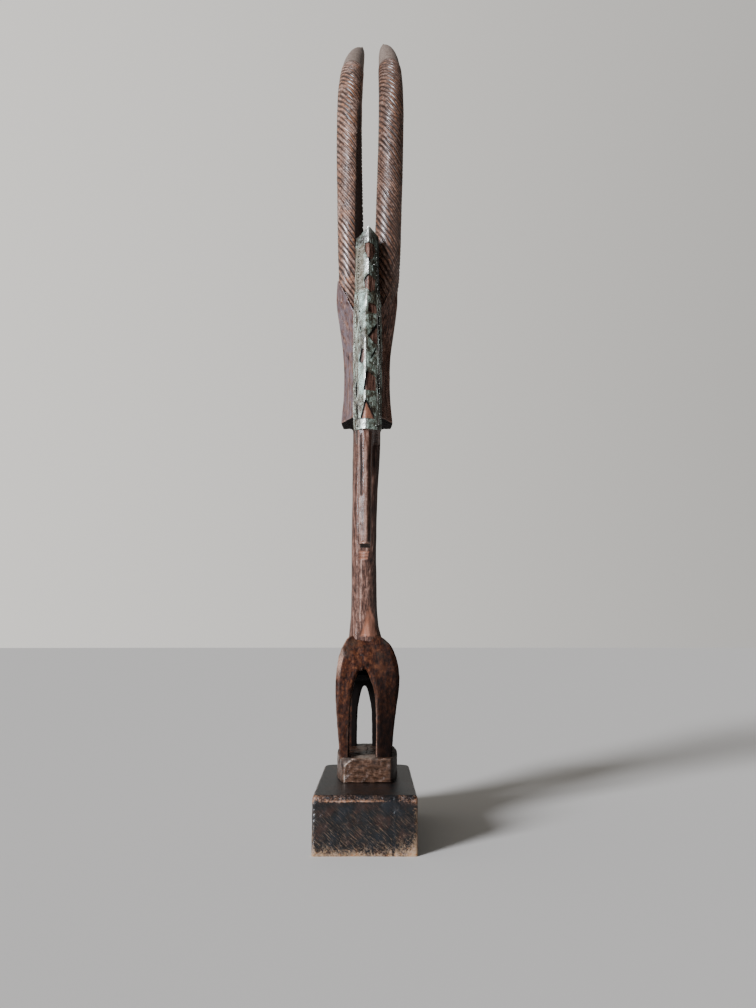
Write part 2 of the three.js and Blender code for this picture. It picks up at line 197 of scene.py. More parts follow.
def readPoints(mesh):
    vertices = np.empty(3 * len(mesh.vertices))
    mesh.vertices.foreach_get("co", vertices)
    return vertices.reshape(-1, 3) / mm


def readNormals(mesh):
    normals = np.empty(3 * len(mesh.vertices))
    mesh.vertex_normals.foreach_get("vector", normals)
    return normals.reshape(-1, 3)


def writePoints(mesh, points):
    mesh.vertices.foreach_set("co", (points * mm).ravel())
    mesh.update()


def skinOf(piece):
    # takes the piece apart again into points in millimetres and faces
    points = readPoints(piece.data)
    faces = [list(polygon.vertices) for polygon in piece.data.polygons]
    bpy.data.objects.remove(piece)
    return points, faces


def paint(mesh, name, values):
    # keeps one number per point for the material to read
    layer = mesh.attributes.new(name, "FLOAT", "POINT")
    layer.data.foreach_set("value", np.asarray(values, np.float32).ravel())


def evenOut(values, edges, times, share=0.5):
    # moves each point's values towards the mean of its neighbours' values
    count = len(values)
    tied = np.bincount(edges.ravel(), minlength=count)[:, None]
    values = values.reshape(count, -1).copy()
    for _ in range(times):
        total = np.stack([
            np.bincount(edges[:, 0], column[edges[:, 1]], count)
            + np.bincount(edges[:, 1], column[edges[:, 0]], count) for column in values.T], -1)
        values += share * (total / tied - values)
    return values


def fuseAndCarve(piece, voxel, softness, strokes):
    # fuses the piece's overlapping skins into one, eases their edges, and cuts tool strokes, which
    # gives a depth in millimetres at each point; returns the points and their directions, and how
    # proud (worn) or sunken (grimy) each lies
    step = piece.modifiers.new("fuse", "REMESH")
    step.mode, step.voxel_size, step.adaptivity = "VOXEL", voxel * mm, 0
    mesh = settle(piece).data
    edges = np.empty(2 * len(mesh.edges), np.int64)
    mesh.edges.foreach_get("vertices", edges)
    edges = edges.reshape(-1, 2)
    points = evenOut(readPoints(mesh), edges, softness)
    writePoints(mesh, points)
    normals = readNormals(mesh)
    proud = ((points - evenOut(points, edges, 1, 1.0)) * normals).sum(1)
    proud = evenOut(proud, edges, 2)[:, 0] / voxel
    points -= normals * strokes(points, normals)[:, None]
    writePoints(mesh, points)
    patch = lumps(points, 7, 8) + 0.6 * lumps(points, 2.5, 9)
    return points, normals, ramp(proud * (1 + 0.7 * patch), 0.025, 0.09), ramp(-proud, 0.02, 0.10)


def nearLines(points, lines):
    # distance in the front view (x and height) from each point to the nearest of the short lines
    flat = points[:, [0, 2]]
    nearest = np.full(len(points), 1e3)
    for a, b in lines:
        a, b = np.array(a, float), np.array(b, float)
        t = ramp((flat - a) @ (b - a) / ((b - a) @ (b - a)), 0, 1)
        nearest = np.minimum(nearest, np.linalg.norm(flat - a - t[:, None] * (b - a), axis=1))
    return nearest


def inTriangle(points, corners):
    # how far inside a triangle of the front view (x and height) each point lies
    flat = points[:, [0, 2]]
    depth = np.full(len(points), 1e3)
    for a, b in zip(corners, corners[1:] + corners[:1]):
        run = np.array(b, float) - a
        side = (run[0] * (flat[:, 1] - a[1]) - run[1] * (flat[:, 0] - a[0])) / np.hypot(*run)
        depth = np.minimum(depth, side)
    return depth


def finishPiece(piece, material, replaced="", sharpAngle=180):
    piece.data.polygons.foreach_set("use_smooth", np.ones(len(piece.data.polygons), bool))
    if sharpAngle < 180:
        piece.data.set_sharp_from_angle(angle=math.radians(sharpAngle))
    piece.data.materials.clear()
    piece.data.materials.append(material)
    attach(piece, "root")
    if replaced:
        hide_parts(replaced)
    print(piece.name, "done,", len(piece.data.polygons), "faces")


# Material building

def linear(hexColour):
    channels = [int(hexColour[i:i + 2], 16) / 255 for i in (1, 3, 5)]
    return [c / 12.92 if c <= 0.04045 else ((c + 0.055) / 1.055)**2.4 for c in channels] + [1]


def addNode(tree, kind, inputs=None, stops=None, **settings):
    # adds a node, sets its own settings, and sets or links its sockets by name or number
    node = tree.nodes.new("ShaderNode" + kind)
    for key, value in settings.items():
        setattr(node, key, value)
    for key, value in (inputs or {}).items():
        if isinstance(value, bpy.types.NodeSocket):
            tree.links.new(value, node.inputs[key])
        elif isinstance(value, str):
            node.inputs[key].default_value = linear(value)
        else:
            node.inputs[key].default_value = value
    for i, (place, colour) in enumerate(stops or []):
        element = node.color_ramp.elements[i] if i < 2 else node.color_ramp.elements.new(place)
        element.position, element.color = place, linear(colour)
    return node


def newMaterial(name):
    material = bpy.data.materials.new(name)
    material.use_nodes = True
    tree = material.node_tree
    tree.nodes.clear()
    return material, tree


def perMetre(sizes):
    # pattern scale for features of those sizes in millimetres
    return [1 / (size * mm) for size in np.broadcast_to(sizes, 3)]


# Waxed hardwood

def waxedHardwood(name, look):
    # dense tropical hardwood, cut with an adze, stained dark and waxed: streaks along the grain and
    # blotches of stain, paler where hands rub its edges, soot in its hollows, and a broken gloss; the pale
    # edge colour also carries painted highlights, the soot colour painted shade, and the grey one a painted
    # sheen
    material, tree = newMaterial(name)
    place = addNode(tree, "TexCoord").outputs["Object"]
    along = addNode(tree, "Mapping", {"Vector": place, "Scale": perMetre(look["streak"])}).outputs[0]
    streaks = addNode(tree, "TexNoise", {
        "Vector": along, "Scale": 1, "Detail": 5, "Roughness": 0.62}).outputs[0]
    blotches = addNode(tree, "TexNoise", {
        "Vector": place, "Scale": perMetre(look["blotch"])[0], "Detail": 7, "Roughness": 0.72}).outputs[0]
    pores = addNode(tree, "TexNoise", {
        "Vector": place, "Scale": perMetre(look["pore"])[0], "Detail": 3, "Roughness": 0.7}).outputs[0]
    wearAndHighlight = addNode(tree, "Attribute", attribute_name="wearAndHighlight").outputs["Fac"]
    grimeAndShade = addNode(tree, "Attribute", attribute_name="grimeAndShade").outputs["Fac"]
    fresh = addNode(tree, "Attribute", attribute_name="fresh").outputs["Fac"]
    tone = addNode(tree, "Mix", {0: look["mottle"], 2: streaks, 3: blotches}).outputs[0]
    wood = addNode(tree, "ValToRGB", {0: tone}, stops=[
        (0.38, look["dark"]), (0.64, look["pale"]), (0.47, look["brown"]), (0.55, look["red"])]).outputs[0]
    bare = addNode(tree, "Mix", {
        0: streaks, 6: look["fresh"], 7: look["pale"]}, data_type="RGBA").outputs[2]
    wood = addNode(tree, "Mix", {0: fresh, 6: wood, 7: bare}, data_type="RGBA").outputs[2]
    rubAndHighlight = addNode(tree, "MapRange", {
        "Value": pores, "From Min": 0.35, "From Max": 0.6, "To Min": 0.2, "To Max": 0.95}).outputs[0]
    rubAndHighlight = addNode(tree, "Math", {0: wearAndHighlight, 1: rubAndHighlight}, operation="MULTIPLY").outputs[0]
    wood = addNode(tree, "Mix", {0: rubAndHighlight, 6: wood, 7: look["edge"]}, data_type="RGBA").outputs[2]
    wood = addNode(tree, "Mix", {0: grimeAndShade, 6: wood, 7: look["sootAndShade"]}, data_type="RGBA").outputs[2]
    dustAndSheen = addNode(tree, "Attribute", attribute_name="dustAndSheen").outputs["Fac"]
    wood = addNode(tree, "Mix", {0: dustAndSheen, 6: wood, 7: look["dustAndSheenTint"]}, data_type="RGBA").outputs[2]
    rough = addNode(tree, "MapRange", {
        "Value": blotches, "From Min": 0.38, "From Max": 0.62,
        "To Min": look["gloss"][0], "To Max": look["gloss"][1]}).outputs[0]
    rough = addNode(tree, "Mix", {0: grimeAndShade, 2: rough, 3: 0.9}).outputs[0]
    relief = addNode(tree, "Math", {0: streaks, 1: pores}, operation="ADD").outputs[0]
    bump = addNode(tree, "Bump", {
        "Height": relief, "Strength": 0.6, "Distance": look["relief"] * mm}).outputs[0]
    shader = addNode(tree, "BsdfPrincipled", {
        "Base Color": wood, "Roughness": rough, "Normal": bump, "IOR": 1.5,
        "Specular IOR Level": look["shine"]})
    addNode(tree, "OutputMaterial", {0: shader.outputs[0]})
    return material


# Neck and head: a faceted neck, the head's core, ears, face and long muzzle, fused into one skin

head = {
    # height, setback of its middle, half depth, middle x, half width
    "neck": [
        [196, 106, 24, -1.2, 21.5], [208, 103, 22.5, -1.6, 19], [222, 100, 21, -2.5, 16.4],
        [250, 91, 18.5, -2.5, 14.8],
        [300, 80, 17.5, -2.8, 14.3], [360, 74, 18, -2, 14.6], [410, 74, 20, -0.5, 15.8],
        [450, 78, 22, 0.3, 16.5]],
    "neckFacets": 10, "neckTurn": 28.8,
    # height, half width, setback of the outer edge, front and rear reach
    "core": [
        [442, 27, 48, 36, 40], [460, 25, 48, 38, 46], [486, 23, 46, 40, 52],
        [518, 23.5, 44, 40, 56], [552, 28, 43, 40, 58], [580, 31, 44, 36, 54],
        [604, 30, 46, 26, 44], [622, 22, 46, 14, 30]],
    "middle": 0.6,
    # height, inner edge and its setback, outer edge and its setback, rear setback
    "ears": [
        [442, 10, 14, 29.2, 47, 70], [480, 10, 12, 26, 44, 80], [520, 10, 11, 27, 38, 84],
        [553, 12, 9, 31.3, 28, 84], [575, 21, 9, 34.3, 22, 76], [590, 28, 10, 34, 20, 60],
        [600, 32, 14, 33.2, 20, 45]],
    # height, ridge x, ridge setback, middle x, half width, rear setback
    "face": [
        [419, -0.3, -21, 1.6, 13.4, 52], [440, -0.3, -24, 1.8, 13.8, 56],
        [480, -0.3, -27, 1.9, 14, 60], [520, -0.3, -26.5, 1.9, 14, 60],
        [552, 0.6, -25, 1.6, 13.4, 60], [572, 1.8, -23.5, 1.2, 12.2, 58],
        [600, 2.5, -21, 1, 11.6, 50], [626, 2.6, -17.5, 1, 11.4, 34], [646.6, 2.8, -14.5, 1.2, 11, 16]],
    "faceFlat": 8.5, "faceGable": 9.5, "faceTop": 646.6,
    # height, ridge setback, rear setback, middle x, half width
    "muzzle": [
        [300, -14, 24, -0.6, 5.6], [318, -15.5, 26, -0.6, 6.3], [360, -18, 32, -0.8, 6.7],
        [400, -20, 44, -0.9, 7.2], [440, -16, 60, -0.6, 8]],
    # the muzzle's front from its right edge to its left, fluted and plain: x and depths
    "muzzleFront": [
        [6.7, 5.2, 5.2], [3.0, 0.6, 0.6], [0.6, -0.2, 0.3], [-1.7, 0.1, 0.1], [-2.5, 2.2, 0.6],
        [-3.4, 0.9, 1.1], [-4.5, 2.6, 1.7], [-5.4, 1.2, 2.2], [-6.7, 3.0, 3.0]],
    "fluteFade": (335, 385),
    # two long scores down the muzzle's left: x and height of both ends
    "scores": [((-8.0, 414), (-7.4, 350)), ((-4.7, 412), (-4.4, 350))],
    # painted highlight lines, down the muzzle's ridge and the neck's left edge, where they catch the window
    "rubAndHighlight": [((0.4, 302), (-0.2, 404)), ((-5.4, 292), (-6.8, 226))],
    # nicks cut across the neck below the muzzle: x and height of both ends
    "nicks": [((-7.5, 300.5), (2.2, 300.5)), ((-6.5, 297.2), (1.2, 297.2)), ((-6.8, 293.8), (0.5, 293.8))],
    # fresh cut where the neck meets the chest: x and height of its corners
    "freshCut": [(3.0, 243), (-6.5, 209), (18, 209)], "freshSpot": ((13.5, 211), (19, 207)),
    "voxel": 1.2,
}

headLook = {
    "dark": "#1d1210", "brown": "#432e27", "red": "#64473c", "pale": "#8e7064", "fresh": "#8c4a26",
    "edge": "#c4a091", "sootAndShade": "#100a08", "streak": (1.6, 1.6, 40), "blotch": 9, "pore": 1.3,
    "dustAndSheenTint": "#5f5458", "mottle": 0.3, "relief": 0.42, "gloss": (0.2, 0.34), "shine": 0.3,
}


def squareRound(count, halfWidth, front, rear, power, middleX, middleY, facets, turn=0.0):
    # section that grows square as the power falls below 1 and pointed as it rises above 1, drawn
    # most of the way towards a polygon with that many facets
    def curve(angle):
        across, over = np.cos(angle), np.sin(angle)
        bend = [np.sign(v) * np.abs(v)**power for v in (across, over)]
        return np.stack([middleX + halfWidth * bend[0],
                         middleY + np.where(bend[1] > 0, rear, front) * bend[1]], -1)

    angle = np.linspace(0, 2 * np.pi, count, endpoint=False)[None, :]
    step = 2 * np.pi / facets
    low = np.floor((angle - turn) / step + 1e-9) * step + turn
    share = ((angle - low) / step)[..., None]
    flat = curve(low) * (1 - share) + curve(low + step) * share
    return 0.2 * curve(angle) + 0.8 * flat


def standing(heights, sections):
    # upright rings of points from level sections
    heights = np.broadcast_to(np.reshape(heights, (len(sections), -1)), sections.shape[:2])
    return np.concatenate([sections, heights[..., None]], -1)


def denser(corners, steps):
    # extra points along each side of the sections' polygons
    share = (np.arange(steps) / steps)[None, None, :, None]
    after = np.roll(corners, -1, axis=1)[:, :, None]
    filled = corners[:, :, None] * (1 - share) + after * share
    return filled.reshape(len(corners), -1, corners.shape[-1])


def columnsAt(table, heights):
    return [smooth(table, heights, k)[:, None] for k in range(len(table[0]))]


def joined(*corners):
    # polygons from the x and y of each corner, over all heights
    return np.stack([np.concatenate(np.broadcast_arrays(x, y), -1) for x, y in corners], 1)


def neckSkin():
    heights = np.linspace(196, 450, 120)
    _, setback, depth, middle, half = columnsAt(head["neck"], heights)
    return tubeSkin(standing(heights, squareRound(
        150, half, depth, depth, 0.75, middle, backBy(setback), head["neckFacets"],
        math.radians(head["neckTurn"]))))


def coreSkin():
    heights = np.linspace(442, 622, 110)
    _, half, setback, front, rear = columnsAt(head["core"], heights)
    return tubeSkin(standing(heights, squareRound(
        96, half, front, rear, 1.35, head["middle"], backBy(setback), 12)))


def earSkin(side):
    heights = np.linspace(442, 600, 90)
    _, inner, innerBack, outer, outerBack, rear = columnsAt(head["ears"], heights)
    hollow = 1.2 * np.sin(np.pi * ramp(heights, 442, 600))[:, None]
    innerX, outerX = (head["middle"] + side * reach for reach in (inner, outer))
    sections = joined(
        (innerX, backBy(innerBack)),
        ((innerX + outerX) / 2, backBy((innerBack + outerBack) / 2) + hollow),
        (outerX, backBy(outerBack)), (outerX - side * 1.5, backBy(rear)), (innerX, backBy(rear)))
    return tubeSkin(standing(heights, denser(sections, 8)))


def faceSections(heights, grow):
    _, ridgeX, ridge, middle, half, rear = columnsAt(head["face"], heights)
    half, front = half + grow, backBy(ridge) - grow
    edge = front + head["faceFlat"]
    return ridgeX, middle, half, front, edge, backBy(rear)


def gabled(x, heights):
    # lowers the face's top from its ridge to its side edges
    along = ramp(heights, 389, head["faceTop"])
    return heights - head["faceGable"] * np.minimum(np.abs(x - 2.8) / 11, 1.1) * along**7


def faceSkin():
    heights = np.linspace(419, head["faceTop"], 110)
    ridgeX, middle, half, front, edge, rear = faceSections(heights, 0)
    sections = denser(joined((middle + half, edge), (middle + half, rear), (middle - half, rear),
                             (middle - half, edge), (ridgeX, front)), 6)
    return tubeSkin(standing(gabled(sections[..., 0], heights[:, None]), sections))


def muzzleSkin():
    heights = np.linspace(300, 440, 120)
    _, ridge, rear, middle, half = columnsAt(head["muzzle"], heights)
    flute = 1 - ramp(heights, *head["fluteFade"])[:, None]
    front = [(middle + x * half / 6.7, backBy(ridge) + cut * flute + plain * (1 - flute))
             for x, cut, plain in head["muzzleFront"]]
    return tubeSkin(standing(heights, joined(
        *front, (middle - half, backBy(rear)), (middle + half, backBy(rear)))))


def makeHead():
    piece = makePiece("neckAndHead", gathered([
        neckSkin(), coreSkin(), earSkin(-1), earSkin(1), faceSkin(), muzzleSkin()]))

    def strokes(points, normals):
        front = ramp(-normals[:, 1], 0.2, 0.5)
        marks = 0.34 * (1 - scoops(points, (5, 5, 30), 3)) + 0.12 * lumps(points, (2.5, 2.5, 12), 4)
        marks *= np.maximum(ramp(np.abs(points[:, 2] - 530), 112, 116), points[:, 1] > backBy(-6))
        nick = 0.9 * ramp(-nearLines(points, head["nicks"]), -1.3, -0.4)
        score = 1.3 * ramp(-nearLines(points, head["scores"]), -1.3, -0.3)
        return marks + (nick + score + 0.8 * ramp(inTriangle(points, head["freshCut"]), 0, 2)) * front

    points, normals, wearAndHighlight, grimeAndShade = fuseAndCarve(piece, head["voxel"], 2, strokes)
    front = ramp(-normals[:, 1], 0.2, 0.5)
    edge = 0.8 * lumps(points, (2, 2, 5), 5)
    height = points[:, 2]
    inFront = points[:, 1] < backBy(-8)
    fresh = np.maximum.reduce([
        ramp(inTriangle(points, head["freshCut"]) + edge, -0.4, 0.8),
        ramp(-nearLines(points, [head["freshSpot"]]) + edge, -3.6, -2.4),
        ramp(-nearLines(points, head["nicks"]) + edge * 0.5, -1.6, -0.8),
        (height > 427) & (height < 449) & inFront])
    # painted shade: dark under the cuts in the sheet, in the muzzle's scores, and on the undersides of the
    # muzzle and ears
    slitShade = ramp(-nearLines(points, plate["slits"]), -1.7, -1.1) * (height > 417)
    scored = ramp(-nearLines(points, head["scores"]), -1.3, -0.5) * front
    undersideShade = np.maximum(0.8 * ((height < 300.6) & (points[:, 1] < backBy(28))),
                       ramp(-normals[:, 2], 0.35, 0.7) * ramp(height, 436, 440))
    # painted highlights along the lines above, mixed with real wear on the proud edges
    rubAndHighlight = ramp(-nearLines(points, head["rubAndHighlight"]) + 0.7 * lumps(points, (2, 2, 9), 6), -1.3, -0.2)
    paint(piece.data, "fresh", fresh * front)
    paint(piece.data, "wearAndHighlight", np.maximum(0.5 * wearAndHighlight, 0.75 * rubAndHighlight * front))
    # painted shade on the neck's right, away from the window
    farSideShade = 0.5 * ramp(points[:, 0], 3, 10) * (height < 440)
    paint(piece.data, "grimeAndShade", np.maximum.reduce([grimeAndShade, slitShade * front, scored, undersideShade, farSideShade]))
    # painted sheen: a grey reflection over the left ear, broken up, and fainter towards the rear
    earSheen = ramp(lumps(points, (3, 3, 9), 7) + 0.7 * lumps(points, (1.6, 1.6, 3), 10), -0.9, 0.9)
    earSheen *= 1 - 0.45 * ramp(points[:, 1], backBy(36), backBy(60))
    paint(piece.data, "dustAndSheen", earSheen * ramp(-points[:, 0], 9, 12) * ramp(height, 438, 446) * (1 - undersideShade))
    finishPiece(piece, waxedHardwood("waxed hardwood", headLook), "antelope_carving")


# Trunk: shoulders and forelegs, hindquarters, breastbone and tail

trunk = {
    "foreOutline": [
        [-28.5, 79], [-31, 110], [-33.6, 145], [-32.6, 172], [-28.6, 193], [-19, 209], [-4, 214],
        [12, 211], [25, 202], [33.5, 186], [36.6, 166], [35.8, 148], [31.5, 118], [27.6, 79]],
    "foreArch": [
        [10.7, 79], [10.7, 125], [8.6, 148], [3, 166], [-4, 176], [-10.5, 164], [-14.5, 150],
        [-18, 122], [-18.5, 79]],
    "foreDepth": (76, 130), "foreRim": 3.4, "shoulderRim": 5.2,
    "hindOutline": [
        [-30, 79], [-31, 130], [-30, 175], [-20, 203], [-3, 208], [15, 203], [26, 175], [27, 130],
        [26, 79]],
    "hindArch": [[6.4, 79], [5, 125], [-3, 152], [-11, 125], [-12.4, 79]],
    "hindDepth": (116, 262), "hindRim": 6,
    # side view in stretches: setback and height
    "side": [
        [[79, 79], [79, 118], [76, 150], [76, 188]],
        [[76, 188], [88, 215], [112, 222], [150, 207], [195, 203], [228, 206]],
        [[228, 206], [245, 196], [249, 178], [240, 158], [226, 140], [213, 112], [205, 79]],
        [[174, 79], [174, 100], [186, 124], [184, 142], [170, 156], [146, 161], [120, 171]],
        [[120, 171], [109, 150], [106, 118], [109, 79]]],
    # x, setback, height and half width
    "tail": [[-2.5, 212, 186, 8.5], [-2.5, 236, 222, 6.4], [-2.5, 251, 260, 4.4], [-2.5, 266, 302, 2.4]],
    # breastbone hanging in the arch between the forelegs: x, height and half width
    "keel": [[-4.3, 171.5, 1.6], [-4.2, 188, 7.5]],
    # how far the right foreleg's outer half slopes back, per millimetre outwards
    "legSlope": 0.34,
    "voxel": 1.15,
}

trunkLook = {
    "dark": "#150c09", "brown": "#2a1813", "red": "#472718", "pale": "#6a422c", "fresh": "#74452c",
    "edge": "#a88674", "sootAndShade": "#0a0605", "streak": (2.4, 2.4, 6), "blotch": 6, "pore": 1.2,
    "dustAndSheenTint": "#2b2721", "mottle": 0.55, "relief": 0.5, "gloss": (0.28, 0.46), "shine": 0.09,
}


def outlineOf(stretches, perPoint=12):
    # closed outline through smooth stretches of points, run anticlockwise
    parts = [alongCurve(points, np.linspace(0, 1, perPoint * len(points)))[0] for points in stretches]
    line = np.concatenate(parts)
    line = line[np.linalg.norm(line - np.roll(line, 1, 0), axis=1) > 0.02]
    after = np.roll(line, -1, 0)
    area = (line[:, 0] * after[:, 1] - after[:, 0] * line[:, 1]).sum()
    return line if area > 0 else line[::-1]


def slabOver(outline, low, high, lowRim, highRim, lowSteps):
    # slab over an outline, its rims eased by drawing the outline inwards: the high one in a quarter
    # circle, and the low one too, or as a straight chamfer where it has only two steps
    heading = np.roll(outline, -1, 0) - np.roll(outline, 1, 0)
    inward = np.stack([-heading[:, 1], heading[:, 0]], -1)
    inward /= np.maximum(np.linalg.norm(inward, axis=1), 1e-6)[:, None]
    lowTurn, highTurn = (np.linspace(0, np.pi / 2, n)[:, None] for n in (lowSteps, 5))
    lowRim, highRim = np.broadcast_arrays(lowRim, highRim, np.empty(len(outline)))[:2]
    draw = np.concatenate([lowRim * (1 - np.sin(lowTurn)), highRim * (1 - np.sin(highTurn[::-1]))])
    depth = np.concatenate([low + 0.8 * lowRim * (1 - np.cos(lowTurn)),
                            high - highRim * (1 - np.cos(highTurn[::-1]))])
    flat = outline[None] + draw[..., None] * inward[None]
    return np.concatenate([flat, depth[..., None]], -1)


def legSkin(outer, arch, depth, rim, chamfered):
    front, rear = backBy(trunk[depth])
    view = outlineOf([trunk[outer], trunk[arch]])
    frontRim = trunk[rim]
    if chamfered:
        # the chamfer grows wider over the shoulders
        outside = ramp(np.abs(view[:, 0]), 20, 28)
        frontRim = frontRim + (trunk["shoulderRim"] - frontRim) * ramp(view[:, 1], 150, 185) * outside
    # low in y is the front, so the slab is built on the front view and laid over
    piece = makePiece(outer, tubeSkin(
        slabOver(view, front, rear, frontRim, trunk[rim], 2 if chamfered else 5)[..., [0, 2, 1]],
        flatEnds=True))
    side = outlineOf([[[float(backBy(s)), h] for s, h in stretch] for stretch in trunk["side"]])
    flanks = makePiece("flanks", tubeSkin(
        slabOver(side, -60, 60, 0.0, 0.0, 2)[[0, -1]][..., [2, 0, 1]], flatEnds=True))
    return skinOf(combine(piece, flanks, "INTERSECT"))


def tailSkin():
    table = [[x, float(backBy(setback)), height, reach] for x, setback, height, reach in trunk["tail"]]
    place, heading, _ = alongCurve(table, np.linspace(0, 1, 60))
    angle = np.linspace(0, 2 * np.pi, 24, endpoint=False)[None, :, None]
    across = np.array([1.0, 0, 0])
    behind = np.cross(heading, across)[:, None]
    turned = np.cos(angle) * across + np.sin(angle) * behind
    return tubeSkin(place[:, None, :3] + place[:, None, 3:] * turned)


def keelSkin():
    # pointed wedge with its edge to the front
    over = np.array([1, 1, 0, -1, -1])
    behind = float(backBy(76.6)) + np.array([14, 3, 0, 3, 14])
    rings = [np.stack([x + half * over, behind, np.full(5, height)], -1)
             for x, height, half in trunk["keel"]]
    return tubeSkin(np.array(rings))


def makeTrunk():
    piece = makePiece("trunkAndLegs", gathered([
        legSkin("foreOutline", "foreArch", "foreDepth", "foreRim", True),
        legSkin("hindOutline", "hindArch", "hindDepth", "hindRim", False), tailSkin(), keelSkin()]))

    def strokes(points, normals):
        return (0.42 * (1 - scoops(points, (9, 9, 15), 13)) + 0.22 * lumps(points, (3.5, 3.5, 5), 14)
                + 0.1 * lumps(points, 1.8, 15))

    points, normals, wearAndHighlight, grimeAndShade = fuseAndCarve(piece, trunk["voxel"], 3, strokes)
    x, y, height = points.T
    outer = np.maximum(x - 15, 0) * ramp(-height, -170, -140) * ramp(-y, -backBy(104), -backBy(78))
    points[:, 1] += trunk["legSlope"] * outer
    writePoints(piece.data, points)
    # painted shade between the legs, where the arch lies in shadow
    inside = ramp(y, backBy(79), backBy(84)) * ramp(12.5 - x, 0, 1) * ramp(x + 19.5, 0, 1) * (height < 182)
    # painted highlights along the left shoulder's chamfer and down the right foreleg's inner edge, with some
    # real wear on the proud edges
    shoulder = ramp(-normals[:, 0], 0.3, 0.5) * ramp(height, 162, 178) * ramp(-height, -218, -212)
    shoulder *= (y < backBy(88)) * ramp(-x, 8, 12)
    inner = ramp(-normals[:, 0], 0.2, 0.5) * (np.abs(x - 11.5) < 3.5) * (y < backBy(81))
    inner *= ramp(-height, -150, -120)
    rubAndHighlight = np.maximum.reduce([0.22 * wearAndHighlight * (x < 26), 0.9 * shoulder, 0.6 * inner])
    # darker towards the feet, and painted shade on the side away from the window
    dim = (0.4 * ramp(-height, -175, -100) + 0.5 * ramp(x, 0, 16)) * (1 - 0.8 * inner)
    paint(piece.data, "wearAndHighlight", rubAndHighlight * (1 - inside))
    paint(piece.data, "grimeAndShade", np.maximum.reduce([grimeAndShade, inside, dim]))
    paint(piece.data, "fresh", 0.4 * ramp(lumps(points, 8, 16), 0.45, 0.8) * (height < 212))
    # olive stain over the top of the chest
    paint(piece.data, "dustAndSheen", 0.6 * ramp(lumps(points, 7, 27), 0, 0.6) * ramp(height, 176, 196))
    finishPiece(piece, waxedHardwood("handled hardwood", trunkLook), "antelope_carving")


# Openwork mane

mane = {
    # setback and height, from below to the top
    "neckEdge": [[116, 204], [99, 260], [90, 300], [84, 350], [84, 400], [90, 450], [98, 510], [100, 566]],
    "outerEdge": [
        [186, 202], [209, 250], [230, 295], [246, 350], [254, 405], [252, 452], [228, 496],
        [178, 532], [120, 568]],
    "halfThickness": 6.5, "middle": -1.5, "strut": 3.4, "flare": 0.9, "smallest": 2.2,
    "rows": [(0.17, 0.45, 7), (0.55, 0.87, 9)], "span": (0.08, 0.93), "voxel": 1.45,
}

maneLook = dict(headLook, dark="#1e1410", brown="#3e281f", red="#5e3c2d", pale="#7e5c49", streak=(2.5, 3, 22))


def acrossMane(share, along):
    # place in the mane's plane, a share of the way from its neck edge to its outer edge
    inner, outer = (alongCurve([[float(backBy(s)), h] for s, h in mane[key]], along)[0]
                    for key in ("neckEdge", "outerEdge"))
    share = np.asarray(share)[..., None]
    return inner * (1 - share) + outer * share


def maneSkin():
    along = np.linspace(0, 1, 120)
    turn = np.linspace(0, 2 * np.pi, 96, endpoint=False)
    # flat section with rounded rims
    across = np.sign(np.cos(turn)) * np.abs(np.cos(turn))**0.35
    over = np.sign(np.sin(turn)) * np.abs(np.sin(turn))**0.22
    share = (1 + across) / 2
    places = np.stack([acrossMane(np.full(len(along), s), along) for s in share], 1)
    x = np.broadcast_to(mane["middle"] + mane["halfThickness"] * over, places.shape[:2])
    return tubeSkin(np.concatenate([x[..., None], places], -1), flatEnds=True)


def maneHoles():
    # triangles between the mane's two rows of struts, drawn in by half a strut's width, each
    # opening flared towards both faces
    skins = []
    thick, flare = mane["halfThickness"], mane["flare"]
    levels = [(-thick - 2, 3 * flare), (-thick, flare), (-thick + 2, 0), (thick - 2, 0),
              (thick, flare), (thick + 2, 3 * flare)]
    for inside, outside, cells in mane["rows"]:
        half = np.arange(2 * cells - 1)
        marks = np.interp(np.arange(2 * cells + 1) / (2 * cells), [0, 1], mane["span"])
        foot = np.where(half % 2 == 0, inside, outside)
        peak = np.where(half % 2 == 0, outside, inside)
        corners = np.stack([acrossMane(foot, marks[half]), acrossMane(peak, marks[half + 1]),
                            acrossMane(foot, marks[half + 2])], 1)
        sides = np.linalg.norm(np.roll(corners, -1, 1) - np.roll(corners, 1, 1), axis=2)
        around = sides.sum(1)
        centre = (corners * sides[..., None]).sum(1) / around[:, None]
        ab, ac = corners[:, 1] - corners[:, 0], corners[:, 2] - corners[:, 0]
        inner = np.abs(ab[:, 0] * ac[:, 1] - ab[:, 1] * ac[:, 0]) / around
        for k in np.flatnonzero(inner > mane["strut"] + mane["smallest"]):
            ring = [np.concatenate([
                np.full((3, 1), mane["middle"] + x),
                centre[k] + (corners[k] - centre[k]) * (1 - (mane["strut"] - wider) / inner[k])], 1)
                for x, wider in levels]
            skins.append(tubeSkin(np.array(ring)))
    return gathered(skins)


def makeMane():
    piece = makePiece("openworkMane", maneSkin())
    combine(piece, makePiece("holes", maneHoles()), "DIFFERENCE")

    def strokes(points, normals):
        return (0.3 * (1 - scoops(points, (6, 8, 8), 23)) + 0.14 * lumps(points, 3, 24)
                + 0.3 * ramp(lumps(points, 14, 25), 0.3, 0.8))

    _, _, wearAndHighlight, grimeAndShade = fuseAndCarve(piece, mane["voxel"], 2, strokes)
    paint(piece.data, "wearAndHighlight", 0.4 * wearAndHighlight)
    paint(piece.data, "grimeAndShade", grimeAndShade)
    finishPiece(piece, waxedHardwood("openwork hardwood", maneLook), "antelope_carving")


# Ringed horns

